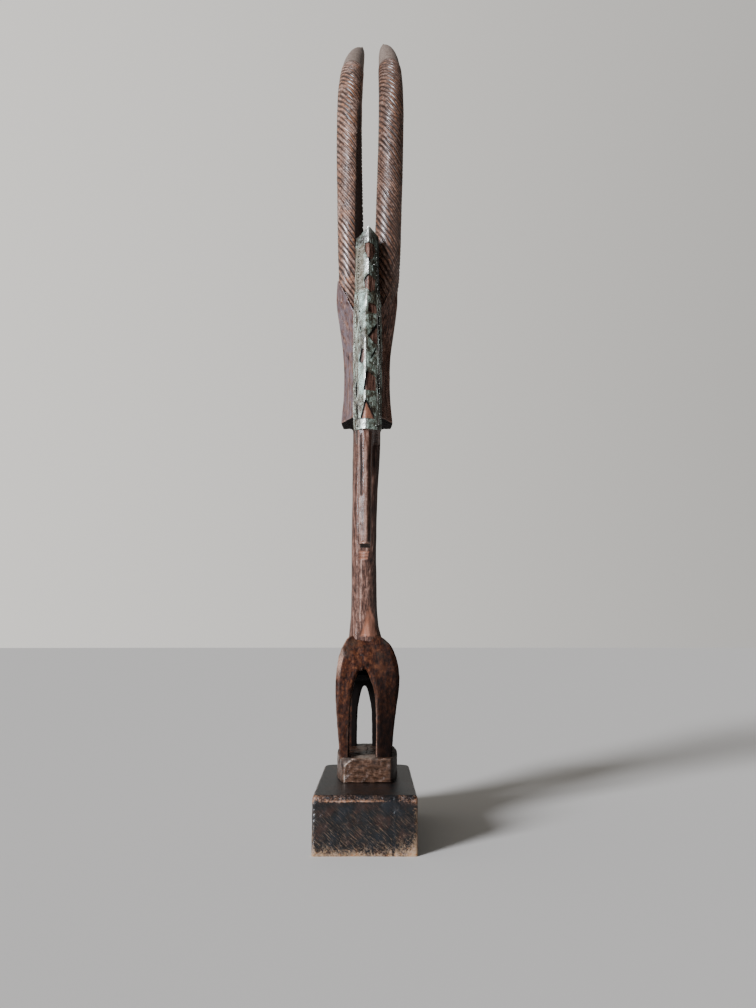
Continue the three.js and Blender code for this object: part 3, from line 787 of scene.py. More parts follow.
horns = {
    # setback and height of the middle line, distance from the head's middle, and radius
    "stations": [
        [32, 540, 11, 6], [23, 582, 18, 13.4], [17, 620, 20, 14.6], [12, 690, 22, 14.6],
        [11, 760, 23.6, 14.5], [17, 816, 24, 14.5], [36, 864, 23.2, 14.2], [66, 908, 21.8, 13.2],
        [102, 950, 19.8, 11], [140, 988, 18, 8.1], [175, 1021, 16.6, 5.2], [203, 1050, 15.4, 1.8]],
    "middle": (2.4, 6), "lead": 5,
    # ring spacing, each ring's even fall to the right, its further drop at the right edge and its
    # lift at the left edge, at the root and where the bare tip begins
    "pitch": (8.8, 7.2), "fall": (1.5, 0.75), "dropRight": (0.1, 0.35), "liftLeft": (0.45, 0.6),
    "levelRoot": 40, "bareTip": 224, "tipStep": 0.6, "around": 60, "perRing": 13,
    # depths of the groove between rings and of the score along each ring's crest, and how bright
    # each horn's painted crest highlights are
    "depth": 1.4, "score": 0.8, "crestTone": {-1: 1.02, 1: 0.88},
    # how common the score is on each horn, as the range of a random mask, and the heights over
    # which it grows rarer
    "scored": {-1: (0.0, 0.9), 1: (-0.5, 0.5)}, "plainer": (730, 800),
    # smooth plane on the left horn's inner front: the way it faces, and its distance from the
    # horn's middle line at each height, as a share of the radius
    "planeFaces": -32, "planeReach": [(560, 0.80), (650, 0.80), (760, 0.93), (830, 1.02)],
}


def ringedHardwood():
    # the same hardwood on the horns, its ring crests painted light as highlights and partly as polish,
    # painted shade and soot between them, and left dull grey brown at the bare tips
    look = {
        "valley": "#1a110d", "slope": "#463229", "crest": "#977361", "glow": "#8e5e3d",
        "rose": "#a2877a", "tip": "#716359", "sootAndShade": "#0e0a08", "blotch": 15, "scuff": 3.2,
        "gloss": (0.3, 0.42),
    }
    material, tree = newMaterial("ringed hardwood")
    place = addNode(tree, "TexCoord").outputs["Object"]
    blotches = addNode(tree, "TexNoise", {
        "Vector": place, "Scale": perMetre(look["blotch"])[0], "Detail": 6, "Roughness": 0.7}).outputs[0]
    scuffs = addNode(tree, "TexNoise", {
        "Vector": place, "Scale": perMetre(look["scuff"])[0], "Detail": 4, "Roughness": 0.72}).outputs[0]
    crest = addNode(tree, "Attribute", attribute_name="crest").outputs["Fac"]
    bare = addNode(tree, "Attribute", attribute_name="bare").outputs["Fac"]
    planeShade = addNode(tree, "Attribute", attribute_name="planeShade").outputs["Fac"]
    lift = addNode(tree, "MapRange", {
        "Value": scuffs, "From Min": 0.3, "From Max": 0.65, "To Min": 0.45, "To Max": 1.1}).outputs[0]
    lift = addNode(tree, "Math", {0: crest, 1: lift}, operation="MULTIPLY").outputs[0]
    tint = addNode(tree, "ValToRGB", {0: blotches}, stops=[
        (0.4, look["rose"]), (0.62, look["glow"]), (0.5, look["crest"])]).outputs[0]
    wood = addNode(tree, "ValToRGB", {0: lift}, stops=[
        (0.05, look["valley"]), (0.55, look["slope"])]).outputs[0]
    high = addNode(tree, "MapRange", {
        "Value": lift, "From Min": 0.52, "From Max": 1, "To Min": 0, "To Max": 1}).outputs[0]
    wood = addNode(tree, "Mix", {0: high, 6: wood, 7: tint}, data_type="RGBA").outputs[2]
    tip = addNode(tree, "ValToRGB", {0: scuffs}, stops=[
        (0.3, look["slope"]), (0.55, look["tip"])]).outputs[0]
    wood = addNode(tree, "Mix", {0: bare, 6: wood, 7: tip}, data_type="RGBA").outputs[2]
    wood = addNode(tree, "Mix", {0: planeShade, 6: wood, 7: look["sootAndShade"]}, data_type="RGBA").outputs[2]
    rough = addNode(tree, "MapRange", {
        "Value": blotches, "From Min": 0.38, "From Max": 0.62,
        "To Min": look["gloss"][0], "To Max": look["gloss"][1]}).outputs[0]
    rough = addNode(tree, "Mix", {0: bare, 2: rough, 3: 0.55}).outputs[0]
    bump = addNode(tree, "Bump", {"Height": scuffs, "Strength": 0.22, "Distance": 0.0004}).outputs[0]
    shader = addNode(tree, "BsdfPrincipled", {
        "Base Color": wood, "Roughness": rough, "Normal": bump, "IOR": 1.5})
    addNode(tree, "OutputMaterial", {0: shader.outputs[0]})
    return material


def makeHorn(name, side, material):
    rows = horns["stations"]
    share = np.arange(len(rows)) / (len(rows) - 1)
    table = [[horns["middle"][0] * (1 - t) + horns["middle"][1] * t + side * spread,
              float(backBy(setback)), height + (horns["lead"] * t if side > 0 else 0), radius]
             for t, (setback, height, spread, radius) in zip(share, rows)]
    length = alongCurve(table, [0])[2]
    ringed = length - horns["bareTip"]
    steps = int(length / horns["pitch"][1] * horns["perRing"])
    run = np.linspace(0, 1, steps)[:, None]
    angle = np.linspace(0, 2 * np.pi, horns["around"], endpoint=False)[None, :]
    radius = alongCurve(table, run)[0][..., 3]
    # each ring falls to the right as a tilted plane does, is bent further at its two side edges,
    # and is level at both ends of the horn
    upper = np.minimum(run * length / ringed, 1)
    level = ramp(run * length, 0, horns["levelRoot"]) * ramp((1 - run) * length, 0, 60)
    fall, drop, lift = (horns[key][0] * (1 - upper) + horns[key][1] * upper
                        for key in ("fall", "dropRight", "liftLeft"))
    bend = (1 - np.abs(np.sin(angle))) * np.where(np.cos(angle) > 0, drop, -lift)
    at = np.clip(run - level * radius * (fall * np.cos(angle) + bend) / length, 0, 1)
    place, heading, _ = alongCurve(table, at)
    across = np.array([1.0, 0, 0])
    spot = place[..., :3]
    outward = (np.cos(angle)[..., None] * across
               + np.sin(angle)[..., None] * np.cross(heading, across))
    onSkin = spot + place[..., 3:] * outward + 90 * side * across
    # rings counted along the horn: their spacing narrows evenly, and wavers as hand work does
    first, last = horns["pitch"]
    growth = (last - first) / ringed
    count = np.log1p(growth * run * length / first) / growth
    phase = count + 0.2 * lumps(onSkin, (14, 14, 16), 41) + 0.13 * lumps(onSkin, 6, 42)
    groove = 1 - ramp(np.abs(np.sin(np.pi * phase)), 0, 0.62)**0.8
    mask = ramp(lumps(onSkin, (16, 16, 40), 43), *horns["scored"][side])
    mask *= 1 - 0.7 * ramp(place[..., 2], *horns["plainer"])
    score = mask * (1 - ramp(np.abs(np.cos(np.pi * phase)), 0, 0.5))
    ring = ramp(-at * length, -ringed - 3, -ringed + 5)
    cut = horns["depth"] * (1 + 0.3 * lumps(onSkin, 12, 44)) * groove + horns["score"] * score
    rib = np.abs(np.sin(2 * np.pi * phase))
    # brown wood between narrow dark grooves of painted shade, with painted highlights along its crests,
    # in one line, and in two where they are scored; some grooves are nearly clean
    single, double = (0.55 * ramp(wave, 0, 0.5) + 0.45 * wave**6
                      for wave in (np.abs(np.sin(np.pi * phase)), np.maximum(rib, 0.25)))
    crest = 1 - (1 - single * (1 - mask) - double * mask) * (0.7 + 0.5 * lumps(onSkin, (8, 8, 11), 46))
    reach = (place[..., 3] - horns["tipStep"] * (1 - ring) - ring * (cut + 0.3 * mask * (1 - rib))
             + 0.2 * lumps(onSkin, (5, 5, 16), 45))
    # painted shade: the left horn's smooth plane is painted near black
    planeShade = np.zeros_like(reach)
    if side < 0:
        near = np.interp(place[..., 2], *zip(*horns["planeReach"]))
        toward = np.maximum(np.cos(angle - math.radians(horns["planeFaces"])), 0.3)
        flat = np.where(toward > 0.3, near * place[..., 3] / toward, 1e3)
        planeShade = ramp(reach - flat, -0.6, 0.3)
        reach = np.minimum(reach, flat)
    piece = makePiece(name, tubeSkin(spot + reach[..., None] * outward))
    for key, values in (
            ("crest", horns["crestTone"][side] * crest * ring), ("bare", 1 - ring), ("planeShade", planeShade)):
        paint(piece.data, key, np.append(values.ravel(), [values[0].mean(), values[-1].mean()]))
    finishPiece(piece, material, "antelope_carving")


# Face sheets and their nails

plate = {
    "gap": 0.3, "thickness": 0.8, "foot": 418, "wrap": 3.5,
    # outlines of the openings cut through the sheets: x and height
    "openings": [
        [(-1.4, 626), (8.8, 626), (9.6, 617), (7.4, 607.5), (4.0, 604.5), (1.2, 608), (-1.2, 616)],
        [(3.1, 587), (5.5, 586), (9.8, 582.5), (9.4, 570), (4.8, 566.5), (-1.3, 572), (-2.2, 581)],
        [(2.2, 554), (10.6, 553.5), (11.3, 546), (10.8, 542.5), (2.4, 543)],
        [(11.7, 531.5), (11.5, 509), (9.5, 508), (2.6, 516)],
        [(-4.1, 502.3), (-1.4, 501), (-0.9, 492), (-3.6, 485), (-6.2, 488.3)],
        [(1.2, 478), (5.5, 475.3), (10.2, 472.5), (10.2, 457.5), (-1.7, 457.5)],
        [(0.5, 448.2), (9.2, 428.6), (-4.6, 428.6)]],
    # gaps where the cut tongues stand apart: x and height of both ends
    "slits": [
        ((11.9, 531.6), (2.4, 515.6)), ((10.8, 504.2), (5.4, 491.8)), ((-4.0, 502.8), (-6.5, 488.6)),
        ((-5.4, 528), (-5.4, 523)), ((1.4, 479), (-1.8, 457.6)), ((-9.7, 467.5), (-9.6, 451.5)),
        ((0.4, 449), (-4.8, 428.8)), ((1.0, 447), (9.0, 430.5)), ((-8.9, 443.6), (-8.8, 428)),
        ((13.4, 541), (14.2, 508)), ((12.6, 477), (12.9, 455)), ((2.4, 607), (4.2, 603)),
        ((-2.0, 582), (3.0, 587.4))],
    "slitWidth": 1.25,
    # punched pits: x, height and radius
    "pits": [(4.4, 597, 1.7), (5.8, 594.5, 1.1), (1.4, 450.8, 1.3), (4.8, 450.4, 1.6), (5.6, 562, 1.2)],
    # single nails, and rows of small ones: x and height of both ends, and how many
    "nails": [(-5.4, 520.6), (9.0, 600), (-7.2, 545), (8.5, 487), (-8.6, 421.8), (11.0, 422.2)],
    "nailRows": [
        ((-8.2, 622), (-8.9, 571), 15), ((-11.6, 474), (-11.2, 420), 15),
        ((-11.4, 556), (-11.9, 500), 11), ((11.0, 620), (12.2, 572), 10), ((14.0, 556), (14.6, 424), 26)],
}


def patinatedBrass():
    # thin hammered brass sheet under a grey-green tarnish, rubbed bright along its ridge and there
    # also given a painted highlight, stained olive and black in its folds and round its cuts, the black
    # round its cuts and over its right side being painted shade
    look = {
        "film": "#6b756a", "pale": "#98a89c", "khaki": "#5f5749", "olive": "#453f30",
        "stain": "#2a261d", "teal": "#98b3a9", "bright": "#dde1da", "black": "#13120e",
        "blotch": 9, "streak": (1.1, 1.1, 16), "fleck": 1.5,
    }
    material, tree = newMaterial("patinated brass")
    place = addNode(tree, "TexCoord").outputs["Object"]
    along = addNode(tree, "Mapping", {"Vector": place, "Scale": perMetre(look["streak"])}).outputs[0]
    blotches = addNode(tree, "TexNoise", {
        "Vector": place, "Scale": perMetre(look["blotch"])[0], "Detail": 7, "Roughness": 0.72}).outputs[0]
    streaks = addNode(tree, "TexNoise", {
        "Vector": along, "Scale": 1, "Detail": 4, "Roughness": 0.65}).outputs[0]
    flecks = addNode(tree, "TexNoise", {
        "Vector": place, "Scale": perMetre(look["fleck"])[0], "Detail": 4, "Roughness": 0.7}).outputs[0]
    wearAndHighlight = addNode(tree, "Attribute", attribute_name="wearAndHighlight").outputs["Fac"]
    dull = addNode(tree, "Attribute", attribute_name="dull").outputs["Fac"]
    teal = addNode(tree, "Attribute", attribute_name="teal").outputs["Fac"]
    rim = addNode(tree, "Attribute", attribute_name="rim").outputs["Fac"]
    grimeAndShade = addNode(tree, "Attribute", attribute_name="grimeAndShade").outputs["Fac"]
    film = addNode(tree, "ValToRGB", {0: blotches}, stops=[
        (0.39, look["stain"]), (0.59, look["pale"]), (0.46, look["olive"]), (0.51, look["film"])]).outputs[0]
    film = addNode(tree, "Mix", {0: teal, 6: film, 7: look["teal"]}, data_type="RGBA").outputs[2]
    film = addNode(tree, "Mix", {0: dull, 6: film, 7: look["khaki"]}, data_type="RGBA").outputs[2]
    lined = addNode(tree, "ValToRGB", {0: streaks}, stops=[
        (0.40, look["stain"]), (0.60, look["pale"]), (0.5, look["khaki"])]).outputs[0]
    film = addNode(tree, "Mix", {0: rim, 6: film, 7: lined}, data_type="RGBA").outputs[2]
    fleck = addNode(tree, "MapRange", {
        "Value": flecks, "From Min": 0.5, "From Max": 0.62, "To Min": 0, "To Max": 0.75}).outputs[0]
    film = addNode(tree, "Mix", {0: fleck, 6: film, 7: look["olive"]}, data_type="RGBA").outputs[2]
    film = addNode(tree, "Mix", {0: wearAndHighlight, 6: film, 7: look["bright"]}, data_type="RGBA").outputs[2]
    film = addNode(tree, "Mix", {0: grimeAndShade, 6: film, 7: look["black"]}, data_type="RGBA").outputs[2]
    metal = addNode(tree, "MapRange", {
        "Value": wearAndHighlight, "From Min": 0, "From Max": 1, "To Min": 0.25, "To Max": 0.85}).outputs[0]
    rough = addNode(tree, "MapRange", {
        "Value": wearAndHighlight, "From Min": 0, "From Max": 1, "To Min": 0.42, "To Max": 0.28}).outputs[0]
    relief = addNode(tree, "Math", {0: blotches, 1: flecks}, operation="ADD").outputs[0]
    bump = addNode(tree, "Bump", {"Height": relief, "Strength": 0.7, "Distance": 0.0007}).outputs[0]
    shader = addNode(tree, "BsdfPrincipled", {
        "Base Color": film, "Metallic": metal, "Roughness": rough, "Normal": bump})
    addNode(tree, "OutputMaterial", {0: shader.outputs[0]})
    return material


def sheetGrid(heights, grow):
    # the sheet's bent section: up one side, over the ridge and down the other
    ridgeX, middle, half, front, edge, _ = faceSections(heights, grow)
    rear = edge + plate["wrap"] + grow
    corners = joined((middle - half, rear), (middle - half, edge), (ridgeX, front),
                     (middle + half, edge), (middle + half, rear))
    parts = []
    for k, steps in enumerate((7, 30, 30, 7)):
        share = (np.arange(steps) / steps)[None, :, None]
        parts.append(corners[:, k:k + 1] * (1 - share) + corners[:, k + 1:k + 2] * share)
    grid = np.concatenate(parts + [corners[:, -1:]], 1)
    return standing(gabled(grid[..., 0], heights[:, None]), grid)


def sheetSkin(outer, inner):
    # closed skin between two grids of points, joined round their four edges
    rows, cols = outer.shape[:2]
    index = np.arange(rows * cols).reshape(rows, cols)
    a, b, c, d = index[:-1, :-1], index[:-1, 1:], index[1:, 1:], index[1:, :-1]
    front = np.stack([a, b, c, d], -1).reshape(-1, 4)
    back = np.stack([a, d, c, b], -1).reshape(-1, 4) + rows * cols
    rim = np.concatenate([index[0, :-1], index[:-1, -1], index[-1, :0:-1], index[:0:-1, 0]])
    after = np.roll(rim, -1)
    band = np.stack([rim + rows * cols, after + rows * cols, after, rim], -1)
    return (np.concatenate([outer.reshape(-1, 3), inner.reshape(-1, 3)]),
            np.concatenate([front, back, band]).tolist())


def slitOutline(a, b):
    # long thin lozenge between two ends
    a, b = np.array(a, float), np.array(b, float)
    run = (b - a) / np.linalg.norm(b - a)
    side = plate["slitWidth"] / 2 * np.array([-run[1], run[0]])
    return [a, a + 2 * run + side, b - 2 * run + side, b, b - 2 * run - side, a + 2 * run - side]


def makePlate():
    heights = np.linspace(plate["foot"], head["faceTop"], 380)
    inner = sheetGrid(heights, plate["gap"])
    outer = sheetGrid(heights, plate["gap"] + plate["thickness"])
    # the cap laps over the upper sheet, which laps over the lower one's torn top edge
    x, level = outer[..., 0], outer[..., 2]
    tear = 567 + 1.6 * lumps(outer, (2.5, 2.5, 50), 51)
    proud = (0.5 * ramp(level, 626.6, 627.2) + 0.45 * ramp(tear - level, -0.6, 0.6) * (level > 428.6)
             + 0.5 * ramp(-level, -428.8, -428.2))
    crumple = 0.55 * (scoops(outer, (4.5, 4.5, 7), 52) - 0.5) + 0.34 * (scoops(outer, (2, 2, 4), 53) - 0.5)
    ripple = 0.18 * np.sin(x * 5.2 + lumps(outer, (3, 3, 20), 54))
    side = ramp(np.abs(x - 1.7), 8.5, 10)
    pit = sum(0.9 * ramp(-np.hypot(x - px, level - pz), -radius, 0) for px, pz, radius in plate["pits"])
    outer[..., 1] += 0.2 - proud - crumple * (1 - side) - ripple * side + pit
    # no thinner than 0.25, and no further forward than the solids reach
    outer[..., 1] = np.minimum(outer[..., 1], inner[..., 1] - 0.25)
    outer[..., 1] = np.maximum(outer[..., 1], solidBox[0][1] / mm + 0.02)
    piece = makePiece("facePlate", sheetSkin(outer, inner))
    for outline in plate["openings"] + [slitOutline(*ends) for ends in plate["slits"]]:
        ring = np.array(outline, float)
        cut = [np.insert(ring, 1, float(backBy(setback)), axis=1) for setback in (-60, -3)]
        combine(piece, makePiece("opening", tubeSkin(np.array(cut), flatEnds=True)), "DIFFERENCE")
    mesh = piece.data
    points = readPoints(mesh)
    x, y, z = points.T
    ridgeX = smooth(head["face"], z, 1)
    # rubbed bright along the ridge and in bands at the sheets' top and foot, partly real wear and partly a
    # painted highlight; the spot high on the ridge is a painted highlight
    streak = ramp(lumps(points, (3, 3, 7), 55), -0.35, 0.35)
    ridge = 0.85 * np.exp(-((x - ridgeX + 0.3) / 0.95)**2) * streak
    band = ((z < 428) | (z > 627)) * np.exp(-((x - ridgeX + 1.5) / 3)**2)
    tip = ramp(z, 588, 592) * ramp(-z, -608, -604) * np.exp(-((x - ridgeX + 1.0) / 2.2)**2)
    left = ramp(ridgeX - x, 0.5, 2) * (z < 566) * ramp(lumps(points, (4, 4, 7), 57), -0.7, 0.3)
    # painted shade: black round the slits, and only faintly round the openings
    lines = [pair for outline in plate["openings"] for pair in zip(outline, outline[1:] + outline[:1])]
    near = np.maximum(*(depth * ramp(-nearLines(points, cuts) + 0.5 * lumps(points, 2, 56), -1.3, -0.5)
                        for cuts, depth in ((lines, 0.25), (plate["slits"], 1))))
    # painted shade over the facet right of the ridge and the sheets' right edge, and the cap's left facet
    # darkened too
    shaded = 0.45 * ramp(x, 9, 13) + (0.25 + 0.3 * (z > 566)) * ramp(x - ridgeX, 1.5, 4)
    shaded += 0.62 * (z > 627) * ramp(ridgeX - x, 1, 2.5)
    seams = (np.exp(-((z - 428.9) / 0.7)**2) + np.exp(-((z - 626.6) / 0.7)**2)) * (y < backBy(-8))
    paint(mesh, "wearAndHighlight", np.maximum.reduce([ridge, 0.8 * band, tip]))
    paint(mesh, "dull", 0.85 * ramp(z, 568, 572) * ramp(-z, -626, -622) * ramp(-x, 1.5, 3.5))
    paint(mesh, "teal", left * (ramp(z, 452, 456) * ramp(-z, -500, -494) + 0.5 * ramp(z, 500, 560)))
    paint(mesh, "rim", ramp(np.abs(x - 1.7), 8.2, 9.6) * (z < 566))
    paint(mesh, "grimeAndShade", np.clip(np.maximum.reduce([0.8 * near, shaded, 0.8 * seams]), 0, 0.95))
    finishPiece(piece, patinatedBrass(), "face_plate", 35)


def forgedIron():
    # small hand-made nails of speckled dark and light iron
    look = {"dark": "#2e2c29", "light": "#8d8f88", "grain": 0.8}
    material, tree = newMaterial("forged iron")
    place = addNode(tree, "TexCoord").outputs["Object"]
    speckle = addNode(tree, "TexNoise", {
        "Vector": place, "Scale": perMetre(look["grain"])[0], "Detail": 3}).outputs[0]
    colour = addNode(tree, "ValToRGB", {0: speckle}, stops=[
        (0.35, look["dark"]), (0.65, look["light"])]).outputs[0]
    shader = addNode(tree, "BsdfPrincipled", {
        "Base Color": colour, "Metallic": 0.9, "Roughness": 0.32})
    addNode(tree, "OutputMaterial", {0: shader.outputs[0]})
    return material


def makeNails():
    # low domes standing on the sheets
    places = [(x, height, 1.15) for x, height in plate["nails"]]
    for a, b, count in plate["nailRows"]:
        places += [(a[0] + (b[0] - a[0]) * t, a[1] + (b[1] - a[1]) * t, 0.52)
                   for t in np.linspace(0, 1, count)]
    turn = np.linspace(0, 2 * np.pi, 10, endpoint=False)
    skins = []
    for x, height, size in places:
        ridgeX, ridge, middle, half = (float(smooth(head["face"], height, k)) for k in (1, 2, 3, 4))
        edge = middle + math.copysign(half + 1.4, x - ridgeX)
        y = float(backBy(ridge)) - 1.5 + head["faceFlat"] * (x - ridgeX) / (edge - ridgeX)
        rings = [np.stack([x + size * r * np.cos(turn), np.full(10, y - size * up),
                           height + size * r * np.sin(turn)], -1)
                 for r, up in ((1.0, -0.8), (1.0, 0.25), (0.8, 0.6), (0.4, 0.8))]
        skins.append(tubeSkin(np.array(rings)))
    finishPiece(makePiece("plateNails", gathered(skins)), forgedIron())


# Blocks: the carving's own base, and the plinth

base = {
    "bottom": 56.3, "top": 81, "front": 71, "rear": 202, "nose": 24.4, "widest": 34, "lean": 1.8,
    # corner knocked off the front's upper left: x and height of its ends, and its slope rearwards
    "chip": ((-23.2, 73), (-12.5, 81.2)), "chipSlope": 0.8,
}

baseLook = {
    "dark": "#1e1611", "brown": "#37261c", "red": "#4b3427", "pale": "#665041", "fresh": "#8a5230",
    "edge": "#a08c7c", "sootAndShade": "#0e0a08", "streak": (6, 6, 1.6), "blotch": 4, "pore": 1.1,
    "dustAndSheenTint": "#3a3630", "mottle": 0.55, "relief": 0.4, "gloss": (0.22, 0.42), "shine": 0.3,
}

block = {"frontCorner": 3, "rearCorner": 11, "topWear": 4.5, "footWear": 1.5, "crack": 27.5}


def evenly(plan, count):
    # the closed plan again, with points at even steps
    closed = np.concatenate([plan, plan[:1]])
    length = np.append(0, np.cumsum(np.linalg.norm(np.diff(closed, axis=0), axis=1)))
    at = np.linspace(0, length[-1], count, endpoint=False)
    return np.stack([np.interp(at, length, closed[:, k]) for k in range(2)], -1)


def blockRings(plan, low, high, footRim, topRim, step):
    # rings up a block: out over its underside, round its foot, up its side, round its upper edge
    # and in over its top, each ring the plan drawn in towards its middle
    middle, half = (plan.max(0) + plan.min(0)) / 2, (plan.max(0) - plan.min(0)) / 2
    inward = half.min() * np.linspace(0.985, 0.05, 24)**1.2
    turn = np.linspace(0, np.pi / 2, 6)[1:-1]
    side = np.linspace(low + footRim, high - topRim, int((high - low) / step))
    heights = np.concatenate([
        np.full(24, low), low + footRim * (1 - np.cos(turn[::-1])), side,
        high - topRim * (1 - np.sin(turn)), np.full(24, high)])
    insets = np.concatenate([
        np.maximum(inward, footRim), footRim * (1 - np.sin(turn[::-1]))[::-1], np.zeros(len(side)),
        topRim * 0.7 * (1 - np.cos(turn)), np.maximum(inward[::-1], topRim * 0.7)])
    return standing(heights, middle + (plan[None] - middle) * (1 - insets[:, None, None] / half)), insets


def makeBase():
    share = (1 - np.cos(np.linspace(0, np.pi, 80))) / 2
    half = base["nose"] + (base["widest"] - base["nose"]) * np.sin(np.pi * share)**0.55
    along = backBy(base["front"] + share * (base["rear"] - base["front"]))
    middle = base["lean"] * (1 - share)
    plan = np.concatenate([np.stack([middle + half, along], -1),
                           np.stack([middle - half, along], -1)[::-1]])
    rings, _ = blockRings(evenly(plan, 380), base["bottom"], base["top"], 1.2, 1.4, 0.9)
    (x0, z0), (x1, z1) = base["chip"]
    above = (rings[..., 2] - z0) * (x1 - x0) - (rings[..., 0] - x0) * (z1 - z0)
    above /= math.hypot(x1 - x0, z1 - z0)
    chipped = backBy(base["front"]) + np.maximum(above, 0) * base["chipSlope"]
    rings[..., 1] = np.maximum(rings[..., 1], chipped)
    piece = makePiece("carvedBase", tubeSkin(rings))
    mesh = piece.data
    points, normals = readPoints(mesh), readNormals(mesh)
    rough = (0.35 * (1 - scoops(points, (7, 7, 5), 17)) + 0.2 * lumps(points, 2.6, 18)
             + 0.35 * ramp(lumps(points, 11, 19), 0.2, 0.7))
    points = points - normals * rough[:, None]
    points[:, 2] = np.maximum(points[:, 2], base["bottom"])
    writePoints(mesh, points)
    x, y, z = points.T
    # worn at the front's left corner and along the knocked-off corner's lower edge, with a painted
    # reflection on top between the forelegs
    corner = np.exp(-((x - base["lean"] + base["nose"]) / 1.1)**2) * (y < backBy(base["front"] + 3))
    chipEdge = np.exp(-(nearLines(points, [base["chip"]]) / 0.8)**2) * (y < backBy(base["front"] + 2))
    rim = 0.25 * ramp(z, base["top"] - 3, base["top"] - 1) * (normals[:, 2] < 0.9)
    topReflection = ramp(x, -13, -7) * ramp(-x, -13, -8) * ramp(-y, -backBy(112), -backBy(84))
    topReflection *= normals[:, 2] > 0.9
    broken = ramp(lumps(points, 3, 20), -0.6, 0.5)
    paint(mesh, "wearAndHighlight", np.maximum(np.maximum.reduce([0.8 * corner, chipEdge, rim]) * broken, topReflection))
    # painted shade on the right side, away from the window
    farSideShade = 0.5 * ramp(x, base["nose"] - 2, base["nose"] + 4)
    paint(mesh, "grimeAndShade", np.maximum(0.8 * ramp(lumps(points, 9, 21), 0.25, 0.8), farSideShade) * (1 - topReflection))
    paint(mesh, "fresh", np.zeros(len(points)))
    finishPiece(piece, waxedHardwood("footworn hardwood", baseLook), "antelope_carving", 50)


def wornBlackPaint():
    # brushed black paint on a sawn softwood block: satin on top, scuffed in slanting scratches in
    # front, and rubbed through to tan and orange wood along its edges
    look = {
        "paint": "#111112", "blue": "#13161a", "brown": "#281b17", "tan": "#a58b6b",
        "orange": "#94592f", "pink": "#8d7068", "blotch": 14, "scratch": (0.5, 0.5, 13),
        "slant": 48, "speck": 1.3, "cross": 3,
    }
    material, tree = newMaterial("worn black paint")
    place = addNode(tree, "TexCoord").outputs["Object"]
    turned = addNode(tree, "Mapping", {
        "Vector": place, "Rotation": (0, math.radians(look["slant"]), 0)}).outputs[0]
    along = addNode(tree, "Mapping", {"Vector": turned, "Scale": perMetre(look["scratch"])}).outputs[0]
    scratches = addNode(tree, "TexNoise", {
        "Vector": along, "Scale": 1, "Detail": 3, "Roughness": 0.6}).outputs[0]
    blotches, specks, weave = (
        addNode(tree, "TexNoise", {
            "Vector": place, "Scale": perMetre(look[key])[0], "Detail": 5, "Roughness": roughness}).outputs[0]
        for key, roughness in (("blotch", 0.62), ("speck", 0.75), ("cross", 0.8)))
    bare = addNode(tree, "Attribute", attribute_name="bare").outputs["Fac"]
    scuffed = addNode(tree, "Attribute", attribute_name="scuffed").outputs["Fac"]
    coat = addNode(tree, "ValToRGB", {0: blotches}, stops=[
        (0.38, look["blue"]), (0.66, look["brown"]), (0.5, look["paint"])]).outputs[0]
    wood = addNode(tree, "ValToRGB", {0: weave}, stops=[
        (0.36, look["orange"]), (0.64, look["pink"]), (0.5, look["tan"])]).outputs[0]
    rosy = addNode(tree, "Attribute", attribute_name="rosy").outputs["Fac"]
    stained = addNode(tree, "ValToRGB", {0: weave}, stops=[
        (0.38, look["brown"]), (0.66, look["tan"]), (0.47, look["orange"]), (0.56, look["pink"])]).outputs[0]
    wood = addNode(tree, "Mix", {0: rosy, 6: wood, 7: stained}, data_type="RGBA").outputs[2]
    line = addNode(tree, "MapRange", {
        "Value": scratches, "From Min": 0.56, "From Max": 0.7, "To Min": 0, "To Max": 0.55}).outputs[0]
    line = addNode(tree, "Math", {0: line, 1: scuffed}, operation="MULTIPLY").outputs[0]
    edge = addNode(tree, "Math", {0: specks, 1: 1.5, 2: bare}, operation="MULTIPLY_ADD").outputs[0]
    edge = addNode(tree, "Math", {0: weave, 1: 0.5, 2: edge}, operation="MULTIPLY_ADD").outputs[0]
    edge = addNode(tree, "MapRange", {
        "Value": edge, "From Min": 1.38, "From Max": 1.75, "To Min": 0, "To Max": 0.9}).outputs[0]
    through = addNode(tree, "Math", {0: line, 1: edge}, operation="MAXIMUM").outputs[0]
    colour = addNode(tree, "Mix", {0: through, 6: coat, 7: wood}, data_type="RGBA").outputs[2]
    rough = addNode(tree, "MapRange", {
        "Value": through, "From Min": 0, "From Max": 1, "To Min": 0.26, "To Max": 0.65}).outputs[0]
    relief = addNode(tree, "Math", {0: scratches, 1: specks}, operation="ADD").outputs[0]
    bump = addNode(tree, "Bump", {"Height": relief, "Strength": 0.4, "Distance": 0.0005}).outputs[0]
    shader = addNode(tree, "BsdfPrincipled", {
        "Base Color": colour, "Roughness": rough, "Normal": bump, "Specular IOR Level": 0.4})
    addNode(tree, "OutputMaterial", {0: shader.outputs[0]})
    return material


